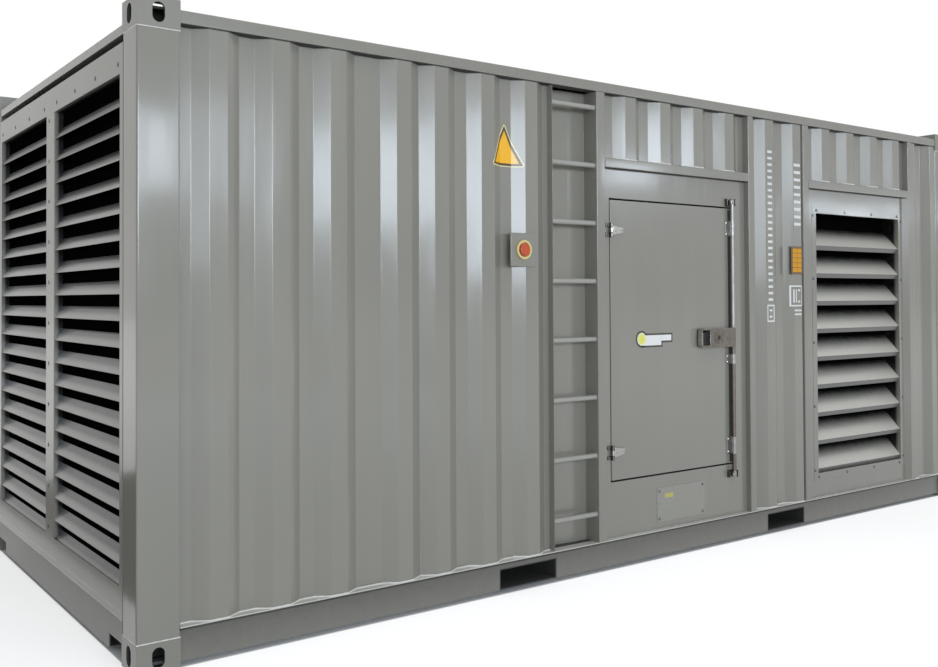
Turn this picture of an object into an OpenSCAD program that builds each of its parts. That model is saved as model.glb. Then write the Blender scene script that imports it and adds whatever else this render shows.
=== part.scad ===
// Gas generator set in a 20 ft container enclosure, millimetres.
// The frame's origin is at the middle of the base, +X runs along the
// length, the door side faces -Y, and +Z is up.

/* [Container] */
// Length over the corner castings
length = 6058; // [6040:1:6120]
// Width over the corner castings
width = 2438; // [2400:1:2500]
// Height over the corner castings
height = 2591; // [2580:1:2900]
// Set-back of rails and posts behind the casting faces
frame_inset = 3; // [1:0.5:6]

/* [Corner castings] */
// Casting length along the container
casting_l = 178; // [178:1:190]
// Casting width across the container
casting_w = 162; // [155:1:175]
// Casting height
casting_h = 118; // [110:1:130]
// Casting wall thickness
casting_wall = 12; // [10:1:14]
// Length of the lifting slot in the top and bottom faces
slot_l = 124; // [110:1:128]
// Distance of the lifting slot's centre from the end face
slot_x = 101.5; // [96:0.5:102]
// Distance of the lifting slot's centre from the side face
slot_y = 89; // [80:1:92]
// Width of the lifting slot in the top and bottom faces
slot_w = 63; // [55:1:66]
// Height of the side apertures
aperture_h = 79; // [70:1:82]
// Width of the side apertures
aperture_w = 51; // [45:1:60]

/* [Frame members] */
// Sheet thickness of the corner posts
post_t = 6; // [4:0.5:8]
// Height of the top side rail
rail_h = 54; // [45:1:65]
// Depth of the top side rail
rail_d = 60; // [50:1:70]
// Wall of the rails' hollow sections
rail_t = 4; // [3:0.5:6]
// Drop of the rails below the casting tops
rail_drop = 35; // [30:1:45]
// Height of the top end rail
end_rail_h = 38; // [30:1:45]
// Drop of the top end rail below the casting tops
end_rail_drop = 82; // [75:1:90]
// Underside of the bottom side rail above the ground
sill_low = 20; // [12:1:30]
// Top of the bottom side rail
sill_top = 156; // [145:1:170]
// Width of the bottom side rail's flanges
sill_d = 56; // [45:1:70]
// Sheet thickness of the bottom side rail
sill_t = 5; // [4:0.5:8]
// How far the rail's top flange stands out from its web
sill_lip = 9; // [4:0.5:12]
// Top of the bottom end sill
end_sill_top = 170; // [162:1:180]
// Length of the notch in the end sill beside each casting
notch_l = 160; // [120:1:200]
// Underside of the end sill over the notch
notch_top = 80; // [70:1:112]

/* [Fork pockets] */
// Distance between the fork pockets' centres
pocket_gap = 2100; // [2000:1:2120]
// Clear width of a fork pocket
pocket_w = 360; // [340:1:380]
// Clear height of a fork pocket
pocket_h = 90; // [80:1:98]
// Plate thickness of a fork pocket
pocket_t = 6; // [4:0.5:8]

/* [Floor and roof] */
// Thickness of the floor plate
floor_t = 5; // [3:0.5:8]
// Height of the floor bearers
bearer_h = 100; // [80:1:116]
// Flange width of the floor bearers
bearer_w = 45; // [35:1:60]
// Sheet thickness of the bearers
bearer_t = 4; // [3:0.5:6]
// Largest distance between floor bearers
bearer_pitch = 420; // [300:10:600]
// Depth of the roof corrugation
roof_depth = 18; // [12:1:24]
// Roof sheet thickness
roof_t = 2; // [1.5:0.5:3]

/* [Corrugated walls] */
// Corrugation pitch
corr_pitch = 278; // [260:1:300]
// Width of the outer crest
corr_crest = 80; // [60:1:95]
// Width of the inner flat
corr_flat = 70; // [55:1:85]
// Depth of the corrugation
corr_depth = 36; // [24:1:40]
// Wall sheet thickness
wall_t = 2; // [1.5:0.5:3]
// Set-back of the outer crests behind the casting faces
wall_inset = 8; // [6:0.5:12]
// Where a crest starts, measured from the ladder recess on the left wall and
// from the left post over the door, between the bays, over the louvre and on
// the right strip
crest_leads = [-180, 160, 124, 154, 248];
// The rib of the left wall that is out of step, counted leftwards from the ladder
odd_rib = 3; // [1:1:5]
// How far that rib is moved towards the ladder
odd_shift = 66; // [0:1:68]

/* [Bays] */
// Width of the ladder recess
ladder_w = 311; // [290:1:330]
// Width of the first wall post
post1_w = 62; // [50:1:70]
// Width of the door bay
door_bay_w = 1205; // [1190:1:1300]
// Width of the second wall post
post2_w = 48; // [40:1:60]
// Width of the wall between the door bay and the third post
middle_w = 501; // [400:1:560]
// Width of the third wall post
post3_w = 61; // [50:1:70]
// Width of the louvre bay
vent_bay_w = 1173; // [1160:1:1250]
// Width of the fourth wall post
post4_w = 52; // [40:1:60]
// Width of the wall between the fourth post and the corner post
strip_w = 317; // [250:1:360]
// Depth of the wall posts and lintels
post_d = 60; // [55:1:80]
// Height of the wall over the lintels
over_bay_h = 340; // [300:1:380]
// Height of the lintels
lintel_h = 52; // [40:1:60]

/* [Ladder] */
// Depth of the ladder recess
ladder_depth = 88; // [80:1:120]
// How much deeper the recess is at its left end
crease_d = 20; // [10:1:30]
// Rung diameter
rung_d = 27; // [20:1:32]
// Height of the lowest rung
rung_low = 301; // [280:1:330]
// Distance between rungs
rung_pitch = 302.5; // [280:0.5:305]
// Least distance from the highest rung to the top side rail
rung_head = 60; // [40:1:120]

/* [Door] */
// Width of the surround beside the door leaf's hinges
leaf_side = 67; // [60:1:80]
// Width of the surround beside the door leaf's free edge
latch_side = 110; // [100:1:130]
// Height of the surround under the door leaf
leaf_under = 299; // [280:1:340]
// Height of the surround over the door leaf
leaf_over = 164; // [150:1:220]
// Depth of the door leaf's pan
leaf_d = 38; // [30:1:50]
// Sheet thickness of the leaf and its surround
leaf_t = 3; // [2:0.5:4]
// Gap round the door leaf
leaf_gap = 8; // [7:0.5:12]
// Set-back of the door and louvre panels behind the casting faces
panel_inset = 36; // [34:1:44]

/* [Door gear] */
// Diameter of the lock rod
rod_d = 24; // [20:1:28]
// Distance from the lock rod to the leaf's free edge
rod_edge = 34; // [32:1:60]
// Stand-off of the lock rod's axis from the leaf
rod_off = 22; // [21:1:24]
// Reach of the lock rod beyond the leaf's lower edge
rod_reach_low = 61; // [32:1:72]
// Reach of the lock rod beyond the leaf's upper edge
rod_reach_top = 34; // [32:1:72]
// Running gap round the rod in its guides
rod_gap = 0.5; // [0.3:0.1:1]
// Length of the swinging handle box
handle_l = 302; // [240:1:320]
// Height of the handle box
handle_h = 110; // [100:1:140]
// Depth of the handle box
handle_d = 28; // [24:1:30]
// Height of the handle's middle above the ground
handle_z = 1192; // [1100:1:1300]
// Length of the lowest rod guide
guide_low_l = 100; // [80:1:110]
// Length of the middle rod guide
guide_mid_l = 58; // [50:1:62]
// Length of the highest rod guide
guide_top_l = 90; // [80:1:100]
// Distance of the lowest guide's middle from the leaf's lower edge
guide_low_edge = 106; // [90:1:120]
// Distance of the highest guide's middle from the leaf's upper edge
guide_top_edge = 118; // [100:1:130]
// Gap between the middle guide and the handle box
guide_handle_gap = 44; // [20:1:60]
// Distance of the lower hinge from the leaf's lower edge
hinge_low_edge = 150; // [120:1:200]
// Distance of the upper hinge from the leaf's upper edge
hinge_top_edge = 163; // [120:1:200]
// Length of a hinge barrel
hinge_l = 76; // [60:1:90]
// Radius of a hinge barrel
hinge_r = 10; // [8:0.5:12]
// Radius of a hinge pin
pin_r = 5; // [4:0.5:6]
// Length of a hinge's foot on the surround
foot_l = 30; // [24:1:36]
// Reach of a hinge strap over the leaf
strap_l = 98; // [80:1:120]
// Width of a hinge strap's tip
strap_tip = 28; // [20:1:36]
// Thickness of a hinge strap
strap_t = 6; // [4:0.5:8]
// Running gap round a hinge pin
pin_gap = 0.3; // [0.2:0.1:0.5]

/* [Side louvres] */
// Width of the panel left of the side louvre opening
vent_left = 120; // [100:1:130]
// Width of the panel right of the side louvre opening
vent_right = 75; // [60:1:100]
// Height of the panel under the side louvre opening
vent_under = 147; // [130:1:180]
// Height of the panel over the side louvre opening
vent_over = 151; // [130:1:180]
// Distance between side louvre blades
vent_pitch = 177.7; // [170:0.1:182]
// Depth of a side louvre blade
vent_blade_d = 106; // [80:1:120]
// Rise of a side louvre blade
vent_blade_h = 118; // [80:1:130]
// Height of a side louvre blade's front lip
vent_lip = 28; // [20:1:40]
// How far a side louvre blade's lip is tucked in at its foot
vent_tuck = 12; // [0:1:20]
// Thickness of the louvre sheets
blade_t = 2.5; // [2:0.5:4]

/* [End louvres] */
// Underside of the end louvre openings
grille_z = 296; // [280:1:310]
// Height of the header over the end louvre openings
header_h = 120; // [100:1:160]
// Slot between the header and the top end rail
header_gap = 31; // [20:1:40]
// Distance of the openings from the enclosure's side faces
grille_side = 199; // [190:1:210]
// Width of the mullion between the two openings
mullion_w = 142; // [120:1:160]
// Distance of the top blade's foot from the top of the end louvre openings
grille_drop = 129; // [110:1:150]
// Distance between end louvre blades
grille_pitch = 106.5; // [90:0.5:130]
// Depth of an end louvre blade
grille_blade_d = 36; // [30:1:60]
// Rise of an end louvre blade
grille_blade_h = 31; // [24:1:60]
// Height of an end louvre blade's front lip
grille_lip = 25; // [20:1:36]
// How far an end louvre blade's lip leans back at its top
grille_lean = 16; // [0:1:20]
// Depth of the end louvre's jambs
jamb_d = 90; // [70:1:120]
// How far the end louvre's jambs reach below its openings
jamb_under = 24; // [20:1:40]

/* [Fittings] */
// Width of the emergency stop box
stop_w = 160; // [140:1:170]
// Height of the emergency stop box
stop_h = 165; // [140:1:180]
// Distance of the emergency stop box from the ladder recess
stop_side = 124; // [100:1:140]
// Height of the emergency stop's middle above the ground
stop_z = 1661; // [1500:1:1700]
// Thickness of the emergency stop box in front of the wall
stop_d = 8; // [7:1:12]
// Radius of the emergency stop's yellow collar
ring_r = 47; // [44:1:50]
// Height of the collar
ring_h = 10; // [8:1:12]
// Radius of the emergency stop's mushroom button
mushroom_r = 32; // [28:1:34]
// Travel of the button
press = 3; // [2:0.5:4]
// Distance of the plate under the door from the leaf's hinge side
plate_side = 350; // [300:1:400]
// Distance of the plate under the door from the bottom side rail
plate_foot = 34; // [24:1:50]
// Width of the plate under the door
plate_w = 400; // [340:1:420]
// Height of the plate under the door
plate_h = 187; // [150:1:200]
// Distance of the tag beside the handle from the leaf's hinge side
tag_side = 191; // [150:1:200]
// Height of the tag's middle above the handle's middle
tag_rise = 6; // [-20:1:20]
// Radius of the tag's disc
tag_r = 46; // [40:1:50]
// Overall width of the tag
tag_w = 296; // [240:1:300]
// Distance of the triangular plate's middle from the ladder recess
triangle_side = 287; // [260:1:300]
// Distance of the triangular plate's tip from the top side rail
triangle_drop = 219; // [200:1:260]
// Side of the triangular plate
triangle_w = 213; // [180:1:230]
// Height of the triangular plate
triangle_h = 215; // [180:1:230]
// Distance of the amber marker from the third post
marker_side = 15; // [10:1:20]
// Lower edge of the amber marker
marker_z = 1565; // [1500:1:1600]
// Width of the amber marker
marker_w = 116; // [90:1:120]
// Height of the amber marker
marker_h = 173; // [150:1:180]

/* [Hidden] */
$fn = 48;
rail_top = height - rail_drop;
rail_low = rail_top - rail_h;
end_rail_low = height - end_rail_drop - end_rail_h;
corr_slope = (corr_pitch - corr_crest - corr_flat) / 2;
wall_low = sill_top;
crest_y = wall_inset;
flat_y = wall_inset + corr_depth;
clear = 0.3;
collar_base = 2;
collar_gap = 5;
stem_r = 12;
post_back = frame_inset + post_d;
right_x = length - casting_l;
post4_x = right_x - strip_w - post4_w;
post3_x = post4_x - vent_bay_w - post3_w;
post2_x = post3_x - middle_w - post2_w;
post1_x = post2_x - door_bay_w - post1_w;
ladder_x = post1_x - ladder_w;
bay_panel_low = rail_low - over_bay_h;
lintel_z = bay_panel_low - lintel_h;
crest_starts = [ladder_x + crest_leads[0], post1_x + post1_w + crest_leads[1],
                post2_x + post2_w + crest_leads[2], post3_x + post3_w + crest_leads[3],
                post4_x + post4_w + crest_leads[4]];
rungs = floor((rail_low - rung_head - rung_low) / rung_pitch) + 1;
leaf_x = post1_x + post1_w + leaf_side;
leaf_w = door_bay_w - leaf_side - latch_side;
leaf_z = sill_top + leaf_under;
leaf_h = lintel_z - leaf_over - leaf_z;
hinge_z = [leaf_z + hinge_low_edge, leaf_z + leaf_h - hinge_top_edge];
guide_l = [guide_low_l, guide_mid_l, guide_top_l];
guide_z = [leaf_z + guide_low_edge, handle_z - (handle_h + guide_mid_l) / 2 - guide_handle_gap,
           leaf_z + leaf_h - guide_top_edge];
hinge_x = leaf_x - leaf_gap / 2;
hinge_y = panel_inset - hinge_r - 4;
rod_x = leaf_x + leaf_w - rod_edge;
rod_y = panel_inset - rod_off;
rod_low = leaf_z - rod_reach_low;
rod_high = leaf_z + leaf_h + rod_reach_top;
hub_r = rod_d / 2 + 3;
cam_hub_r = rod_d / 2 + 1;
cam_reach = 26;
cam_h = 24;
cam_hub_h = 34;
cam_gap = 6;
cheek = 6;
foot_t = 3;
keeper_h = 44;
keeper_left = -cam_reach - cam_gap;
keeper_right = hub_r + cam_gap;
handle_back = 10;
handle_rim = 12;
finger_l = 62;
finger_back = 4;
base_rim = 8;
base_t = 4;
base_start = 30;
flange_t = 4;
flange_left = 24;
flange_right = 16;
crease_share = 0.6;
knuckle_fixed = hinge_l * 0.3;
knuckle_moving = hinge_l * 0.4 - 2;
strap_h = hinge_l * 0.8;
strap_root = hinge_r + leaf_gap / 2 + 2;
grille_frame_top = end_rail_low - header_gap;
grille_top = grille_frame_top - header_h;
grille_w = (width - 2 * grille_side - mullion_w) / 2;
grille_blade_z = grille_top - grille_drop;
jamb_low = grille_z - jamb_under;
grille_n = floor((grille_blade_z - jamb_low) / grille_pitch) + 1;
vent_x = post3_x + post3_w + vent_left;
vent_w = vent_bay_w - vent_left - vent_right;
vent_z = sill_top + vent_under;
vent_h = lintel_z - vent_over - vent_z;
vent_blades = floor(vent_h / vent_pitch);
vent_set = 4;
vent_foot = 0.5;
vent_clear = 6;
vent_tunnel = vent_set + vent_blade_d + vent_clear;
stop_x = ladder_x - stop_side - stop_w;
plate_x = leaf_x + plate_side;
plate_z = sill_top + plate_foot;
tag_x = leaf_x + tag_side;
tag_z = handle_z + tag_rise;
triangle_x = ladder_x - triangle_side;
triangle_z = rail_low - triangle_drop - triangle_h;
marker_x = post3_x - marker_side - marker_w;

// Places what is drawn from the left front bottom corner into the frame.
module placed() { translate([-length / 2, -width / 2, 0]) children(); }

// Repeats a front-side piece on the back.
module both_sides() {
    children();
    translate([0, width, 0]) mirror([0, 1, 0]) children();
}

// Repeats a left-end piece on the right end.
module both_ends() {
    children();
    translate([length, 0, 0]) mirror([1, 0, 0]) children();
}

// Box between two corners.
module block(low, high) {
    translate(low) cube([for (i = [0:2]) high[i] - low[i]]);
}

// Hollow rectangular section along one axis, open at both ends.
module tube(low, high, t, along) {
    difference() {
        block(low, high);
        block([for (i = [0:2]) i == along ? low[i] - 1 : low[i] + t],
              [for (i = [0:2]) i == along ? high[i] + 1 : high[i] - t]);
    }
}

// Round-ended slot of length l and width w along X, cut through z.
module slot(l, w, z) {
    for (side = [-1, 1]) translate([side * (l - w) / 2, 0, 0]) cylinder(d = w, h = z, center = true);
    cube([l - w, w, z], center = true);
}

// Where the crest of rib k starts, on a sheet whose crest 0 starts at first_crest.
function crest_start(k, first_crest) = first_crest + k * corr_pitch + (k == -odd_rib ? odd_shift : 0);

// Distance of a rib's outer face behind the casting faces, u after the start of its crest.
function rib_y(u) =
    let (out = min(u + corr_slope, corr_crest + corr_slope - u) / corr_slope)
    flat_y - corr_depth * min(1, max(0, out));

// The same on a whole corrugated sheet.
function corr_y(x, first_crest) =
    let (near = round((x - first_crest - corr_crest / 2) / corr_pitch))
    min([for (k = [near - 1:near + 1]) rib_y(x - crest_start(k, first_crest))]);

// Bend lines of the corrugated sheet between two ends, and the ends themselves.
function corr_bends(x0, x1, first_crest) =
    let (first = floor((x0 - first_crest) / corr_pitch), last = ceil((x1 - first_crest) / corr_pitch))
    concat([x0],
        [for (k = [first:last])
            for (bend = [-corr_slope, 0, corr_crest, corr_crest + corr_slope])
                let (x = crest_start(k, first_crest) + bend)
                if (x > x0 + 0.5 && x < x1 - 0.5) x],
        [x1]);

// Corrugated sheet from x0 to x1 and z0 to z1.
module corrugated(x0, x1, z0, z1, first_crest, t = wall_t, lift = 0) {
    bends = corr_bends(x0, x1, first_crest);
    outer = [for (x = bends) [x, corr_y(x, first_crest) - lift]];
    inner = [for (i = [len(bends) - 1:-1:0]) [bends[i], corr_y(bends[i], first_crest) - lift + t]];
    translate([0, 0, z0]) linear_extrude(z1 - z0) polygon(concat(outer, inner));
}

// One casting at the left front bottom corner: a hollow box with apertures.
module casting() {
    difference() {
        block([0, 0, 0], [casting_l, casting_w, casting_h]);
        block([casting_wall, casting_wall, casting_wall],
              [casting_l - casting_wall, casting_w - casting_wall, casting_h - casting_wall]);
        translate([slot_x, slot_y, casting_wall / 2]) slot(slot_l, slot_w, casting_wall + 2);
        translate([casting_l / 2, casting_wall / 2, casting_h / 2])
            rotate([90, 90, 0]) slot(aperture_h, aperture_w, casting_wall + 2);
        translate([casting_wall / 2, casting_w / 2, casting_h / 2])
            rotate([0, 90, 0]) slot(aperture_h, aperture_w, casting_wall + 2);
    }
}

module corner_castings_bottom() {
    color("dimgray") placed() both_ends() both_sides() casting();
}

module corner_castings_top() {
    color("dimgray") placed() both_ends() both_sides()
        translate([0, 0, height]) mirror([0, 0, 1]) casting();
}

module corner_posts() {
    color("darkgray") placed() both_ends() both_sides()
        tube([frame_inset, frame_inset, casting_h], [casting_l, casting_w, height - casting_h], post_t, 2);
}

module top_side_rails() {
    color("darkgray") placed() both_sides()
        tube([casting_l, frame_inset, rail_low], [right_x, frame_inset + rail_d, rail_top], rail_t, 0);
}

// Box rail with an upstand along its inner edge that closes the roof's end.
module top_end_rails() {
    color("darkgray") placed() both_ends() {
        tube([frame_inset, casting_w, end_rail_low],
             [frame_inset + rail_d, width - casting_w, end_rail_low + end_rail_h], rail_t, 1);
        block([frame_inset + rail_d - rail_t, casting_w, end_rail_low + end_rail_h - rail_t / 2],
              [frame_inset + rail_d, width - casting_w, rail_top]);
    }
}

// Channel with its web outside, a top flange that stands proud of the web, and
// a bottom flange that is cut away under the fork pockets.
module bottom_side_rails() {
    web_y = frame_inset + sill_lip;
    color("darkgray") placed() both_sides() difference() {
        union() {
            block([casting_l, web_y, sill_low], [right_x, web_y + sill_t, sill_top]);
            block([casting_l, frame_inset, sill_top - sill_t], [right_x, frame_inset + sill_d, sill_top]);
            block([casting_l, web_y, sill_low], [right_x, frame_inset + sill_d, sill_low + sill_t]);
        }
        for (side = [-1, 1])
            block([length / 2 + side * pocket_gap / 2 - pocket_w / 2 - pocket_t, -1, sill_low - 1],
                  [length / 2 + side * pocket_gap / 2 + pocket_w / 2 + pocket_t, frame_inset + sill_d + 1,
                   sill_low + 2 * pocket_t + pocket_h]);
    }
}

// Rectangular tubes that run right across under the floor.
module fork_pockets() {
    web_y = frame_inset + sill_lip;
    color("gray") placed() for (side = [-1, 1])
        tube([length / 2 + side * pocket_gap / 2 - pocket_w / 2 - pocket_t, web_y, sill_low],
             [length / 2 + side * pocket_gap / 2 + pocket_w / 2 + pocket_t, width - web_y,
              sill_low + 2 * pocket_t + pocket_h], pocket_t, 1);
}

// Z-shaped sill between the bottom castings of each end, notched at both ends.
module bottom_end_sills() {
    color("darkgray") placed() both_ends() {
        difference() {
            block([frame_inset, casting_w, sill_low],
                  [frame_inset + sill_t, width - casting_w, end_sill_top]);
            for (y = [casting_w, width - casting_w - notch_l])
                block([0, y - 1, sill_low - 1], [frame_inset + sill_t + 1, y + notch_l + 1, notch_top]);
        }
        block([frame_inset + sill_t, casting_w, end_sill_top - sill_t],
              [frame_inset + sill_d, width - casting_w, end_sill_top]);
        block([frame_inset + sill_t, casting_w + notch_l + 1, sill_low],
              [frame_inset + sill_d, width - casting_w - notch_l - 1, sill_low + sill_t]);
    }
}

// Channels across the base between the rails, clear of the fork pockets.
module floor_bearers() {
    bays = ceil((right_x - casting_l) / bearer_pitch);
    step = (right_x - casting_l) / bays;
    web_y = frame_inset + sill_lip + sill_t;
    color("gray") placed() for (k = [1:bays - 1]) {
        x = casting_l + k * step;
        near = min(abs(x - length / 2 - pocket_gap / 2), abs(x - length / 2 + pocket_gap / 2));
        over_pocket = near < pocket_w / 2 + pocket_t + bearer_w + 5;
        low = over_pocket ? sill_low + 2 * pocket_t + pocket_h : sill_top - floor_t - bearer_h;
        difference() {
            block([x - bearer_w / 2, web_y, low], [x + bearer_w / 2, width - web_y, sill_top - sill_t]);
            block([x - bearer_w / 2 + bearer_t, web_y - 1, low + bearer_t],
                  [x + bearer_w / 2 + 1, width - web_y + 1, sill_top - sill_t - bearer_t]);
        }
    }
}

// Prisms over the four casting corners, cut out of the floor and the roof.
module corner_cuts(z0, z1) {
    both_ends() both_sides() block([-1, -1, z0], [casting_l, casting_w, z1]);
}

module floor_plate() {
    inner = frame_inset + sill_d;
    color("dimgray") placed() difference() {
        block([inner, inner, sill_top - sill_t],
              [length - inner, width - inner, sill_top - sill_t + floor_t]);
        corner_cuts(sill_low, end_sill_top);
    }
}

// Roof sheet with ribs across the container, lying between the rails.
module roof() {
    x0 = frame_inset + rail_d;
    x1 = length - x0;
    ribs = round((x1 - x0) / corr_pitch);
    step = (x1 - x0) / ribs;
    z = rail_top - roof_depth - roof_t;
    bends = [0.1, 0.3, 0.5, 0.8];
    points = concat([[x0, roof_depth]],
        [for (k = [0:ribs - 1]) for (b = [0:3])
            [x0 + (k + bends[b]) * step, b == 1 || b == 2 ? 0 : roof_depth]],
        [[x1, roof_depth]]);
    under = [for (i = [len(points) - 1:-1:0]) [points[i][0], points[i][1] + roof_t]];
    color("darkgray") placed() difference() {
        translate([0, width - frame_inset - rail_d, z]) rotate([90, 0, 0])
            linear_extrude(width - 2 * (frame_inset + rail_d)) polygon(concat(points, under));
        corner_cuts(z - 1, height);
    }
}

module front_wall_left() {
    color("darkgray") placed() corrugated(casting_l, ladder_x, wall_low, rail_low, crest_starts[0]);
}

module front_wall_over_door() {
    color("darkgray") placed()
        corrugated(post1_x + post1_w, post2_x, bay_panel_low, rail_low, crest_starts[1]);
}

module front_wall_middle() {
    color("darkgray") placed() corrugated(post2_x + post2_w, post3_x, wall_low, rail_low, crest_starts[2]);
}

module front_wall_over_louvre() {
    color("darkgray") placed()
        corrugated(post3_x + post3_w, post4_x, bay_panel_low, rail_low, crest_starts[3]);
}

module front_wall_right() {
    color("darkgray") placed() corrugated(post4_x + post4_w, right_x, wall_low, rail_low, crest_starts[4]);
}

module on_back() { translate([0, width, 0]) mirror([0, 1, 0]) children(); }

module back_wall_left() {
    color("darkgray") placed() on_back() corrugated(casting_l, post3_x, wall_low, rail_low, crest_starts[0]);
}

module back_wall_over_louvre() {
    color("darkgray") placed() on_back()
        corrugated(post3_x + post3_w, post4_x, bay_panel_low, rail_low, crest_starts[3]);
}

module back_wall_right() {
    color("darkgray") placed() on_back()
        corrugated(post4_x + post4_w, right_x, wall_low, rail_low, crest_starts[4]);
}

// Upright between the bottom and top side rails.
module wall_post(x, w) {
    tube([x, frame_inset, sill_top], [x + w, post_back, rail_low], rail_t, 2);
}

module wall_posts() {
    color("darkgray") placed() {
        wall_post(post1_x, post1_w);
        wall_post(post2_x, post2_w);
        both_sides() wall_post(post3_x, post3_w);
        both_sides() wall_post(post4_x, post4_w);
    }
}

module wall_lintels() {
    color("darkgray") placed() {
        tube([post1_x + post1_w, frame_inset, lintel_z], [post2_x, post_back, bay_panel_low], rail_t, 0);
        both_sides()
            tube([post3_x + post3_w, frame_inset, lintel_z], [post4_x, post_back, bay_panel_low], rail_t, 0);
    }
}

// Open box let into the wall, with a crease down its back.
module ladder_recess() {
    y1 = crest_y + ladder_depth;
    y2 = y1 + crease_d;
    crease_x = ladder_x + ladder_w * crease_share;
    color("darkgray") placed() translate([0, 0, wall_low]) linear_extrude(rail_low - wall_low) polygon([
        [ladder_x, crest_y], [ladder_x + wall_t, crest_y], [ladder_x + wall_t, y2],
        [crease_x, y1], [post1_x - wall_t, y1], [post1_x - wall_t, frame_inset], [post1_x, frame_inset],
        [post1_x, y1 + wall_t], [crease_x, y1 + wall_t], [ladder_x, y2 + wall_t]]);
}

module ladder_rungs() {
    color("silver") placed() for (k = [0:rungs - 1])
        translate([ladder_x + wall_t, crest_y + rung_d / 2 + 4, rung_low + k * rung_pitch])
            rotate([0, 90, 0]) cylinder(d = rung_d, h = ladder_w - 2 * wall_t);
}

// Flat plate round the door opening, from the bottom rail to the lintel.
module door_surround() {
    color("darkgray") placed() difference() {
        block([post1_x + post1_w, panel_inset, sill_top], [post2_x, panel_inset + leaf_t, lintel_z]);
        block([leaf_x - leaf_gap, panel_inset - 1, leaf_z - leaf_gap],
              [leaf_x + leaf_w + leaf_gap, panel_inset + leaf_t + 1, leaf_z + leaf_h + leaf_gap]);
    }
}

// Pressed pan: outer skin with returns on all four edges.
module door_leaf() {
    color("darkgray") placed() difference() {
        block([leaf_x, panel_inset, leaf_z], [leaf_x + leaf_w, panel_inset + leaf_d, leaf_z + leaf_h]);
        block([leaf_x + leaf_t, panel_inset + leaf_t, leaf_z + leaf_t],
              [leaf_x + leaf_w - leaf_t, panel_inset + leaf_d + 1, leaf_z + leaf_h - leaf_t]);
    }
}

// Fixed halves of the hinges: two knuckles, their foot and the pin.
module hinge_brackets() {
    knuckle = knuckle_fixed;
    color("silver") placed() for (z = hinge_z) translate([hinge_x, hinge_y, z]) {
        for (side = [-1, 1]) translate([0, 0, side * (hinge_l - knuckle) / 2]) {
            cylinder(r = hinge_r, h = knuckle, center = true);
            block([-foot_l - leaf_gap / 2, strap_t / 2, -knuckle / 2],
                  [-leaf_gap / 2, panel_inset - hinge_y, knuckle / 2]);
        }
        cylinder(r = pin_r, h = hinge_l, center = true);
    }
}

// Moving halves of the hinges: a knuckle and a tapering strap on the leaf.
module hinge_straps() {
    knuckle = knuckle_moving;
    color("silver") placed() for (z = hinge_z) translate([hinge_x, hinge_y, z]) difference() {
        union() {
            cylinder(r = hinge_r, h = knuckle, center = true);
            block([0, panel_inset - hinge_y - 2 * strap_t, -knuckle / 2],
                  [strap_root + strap_t, panel_inset - hinge_y, knuckle / 2]);
            translate([strap_root, panel_inset - hinge_y, 0]) rotate([90, 0, 0]) linear_extrude(strap_t)
                polygon([[0, -strap_h / 2], [strap_h / 2, -strap_h / 2],
                         [strap_l - strap_root, -strap_tip / 2], [strap_l - strap_root, strap_tip / 2],
                         [strap_h / 2, strap_h / 2], [0, strap_h / 2]]);
        }
        cylinder(r = pin_r + pin_gap, h = hinge_l, center = true);
    }
}

// Rod with a cam at each end.
module lock_rod() {
    color("silver") placed() translate([rod_x, rod_y, 0]) {
        translate([0, 0, rod_low]) cylinder(d = rod_d, h = rod_high - rod_low);
        for (z = [rod_low, rod_high]) translate([0, 0, z]) {
            cylinder(r = cam_hub_r, h = cam_hub_h, center = true);
            block([-cam_reach, -hub_r, -cam_h / 2], [0, 4, cam_h / 2]);
        }
    }
}

// Swinging box handle, with a hollow for the fingers and a key cylinder.
module handle_box() {
    front = handle_back - handle_d;
    hollow_x = -handle_l + handle_rim;
    color("silver") placed() translate([rod_x, rod_y, handle_z]) difference() {
        union() {
            cylinder(r = hub_r, h = handle_h, center = true);
            block([-handle_l, front, -handle_h / 2], [0, handle_back, handle_h / 2]);
        }
        cylinder(d = rod_d, h = handle_h + 2, center = true);
        block([hollow_x, front - 1, -handle_h / 2 + handle_rim],
              [hollow_x + finger_l, finger_back, handle_h / 2 - handle_rim]);
    }
}

module handle_base() {
    color("dimgray") placed() translate([rod_x, panel_inset, handle_z])
        block([-handle_l + base_rim, -base_t, -handle_h / 2 + base_rim],
              [-base_start, 0, handle_h / 2 - base_rim]);
}

// Bearing blocks that hold the rod on the leaf.
module rod_guides() {
    color("silver") placed() for (k = [0:len(guide_z) - 1])
        translate([rod_x, rod_y, guide_z[k]]) difference() {
            union() {
                cylinder(r = hub_r, h = guide_l[k], center = true);
                block([-hub_r, 0, -guide_l[k] / 2], [hub_r, rod_off, guide_l[k] / 2]);
                block([-hub_r - flange_left, rod_off - flange_t, -guide_l[k] / 2],
                      [hub_r + flange_right, rod_off, guide_l[k] / 2]);
            }
            cylinder(r = rod_d / 2 + rod_gap, h = guide_l[k] + 2, center = true);
        }
}

// Keepers on the surround: a foot and two cheeks beside each cam, open in
// front of the cam.
module rod_keepers() {
    left = keeper_left;
    right = keeper_right;
    cheek_h = keeper_h - 4;
    color("silver") placed() for (z = [rod_low, rod_high]) translate([rod_x, panel_inset, z]) {
        block([left - cheek, -foot_t, -keeper_h / 2], [right + cheek, 0, keeper_h / 2]);
        block([left - cheek, -rod_off + 2, -cheek_h / 2], [left, -foot_t / 2, cheek_h / 2]);
        block([right, -rod_off - 8, -cheek_h / 2], [right + cheek, -foot_t / 2, cheek_h / 2]);
    }
}

// Blade along X with its top edge inside. The lip in front leans back, or is tucked in where lean is below 0.
module blade(l, d, h, lip, lean, t) {
    foot = max(0, -lean);
    bend = max(0, lean);
    rotate([90, 0, 90]) linear_extrude(l)
        polygon([[foot, 0], [foot + t, 0], [bend + t, lip - 1], [d, lip - 1 + h - t], [d, lip + h],
                 [bend, lip + 1]]);
}

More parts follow.
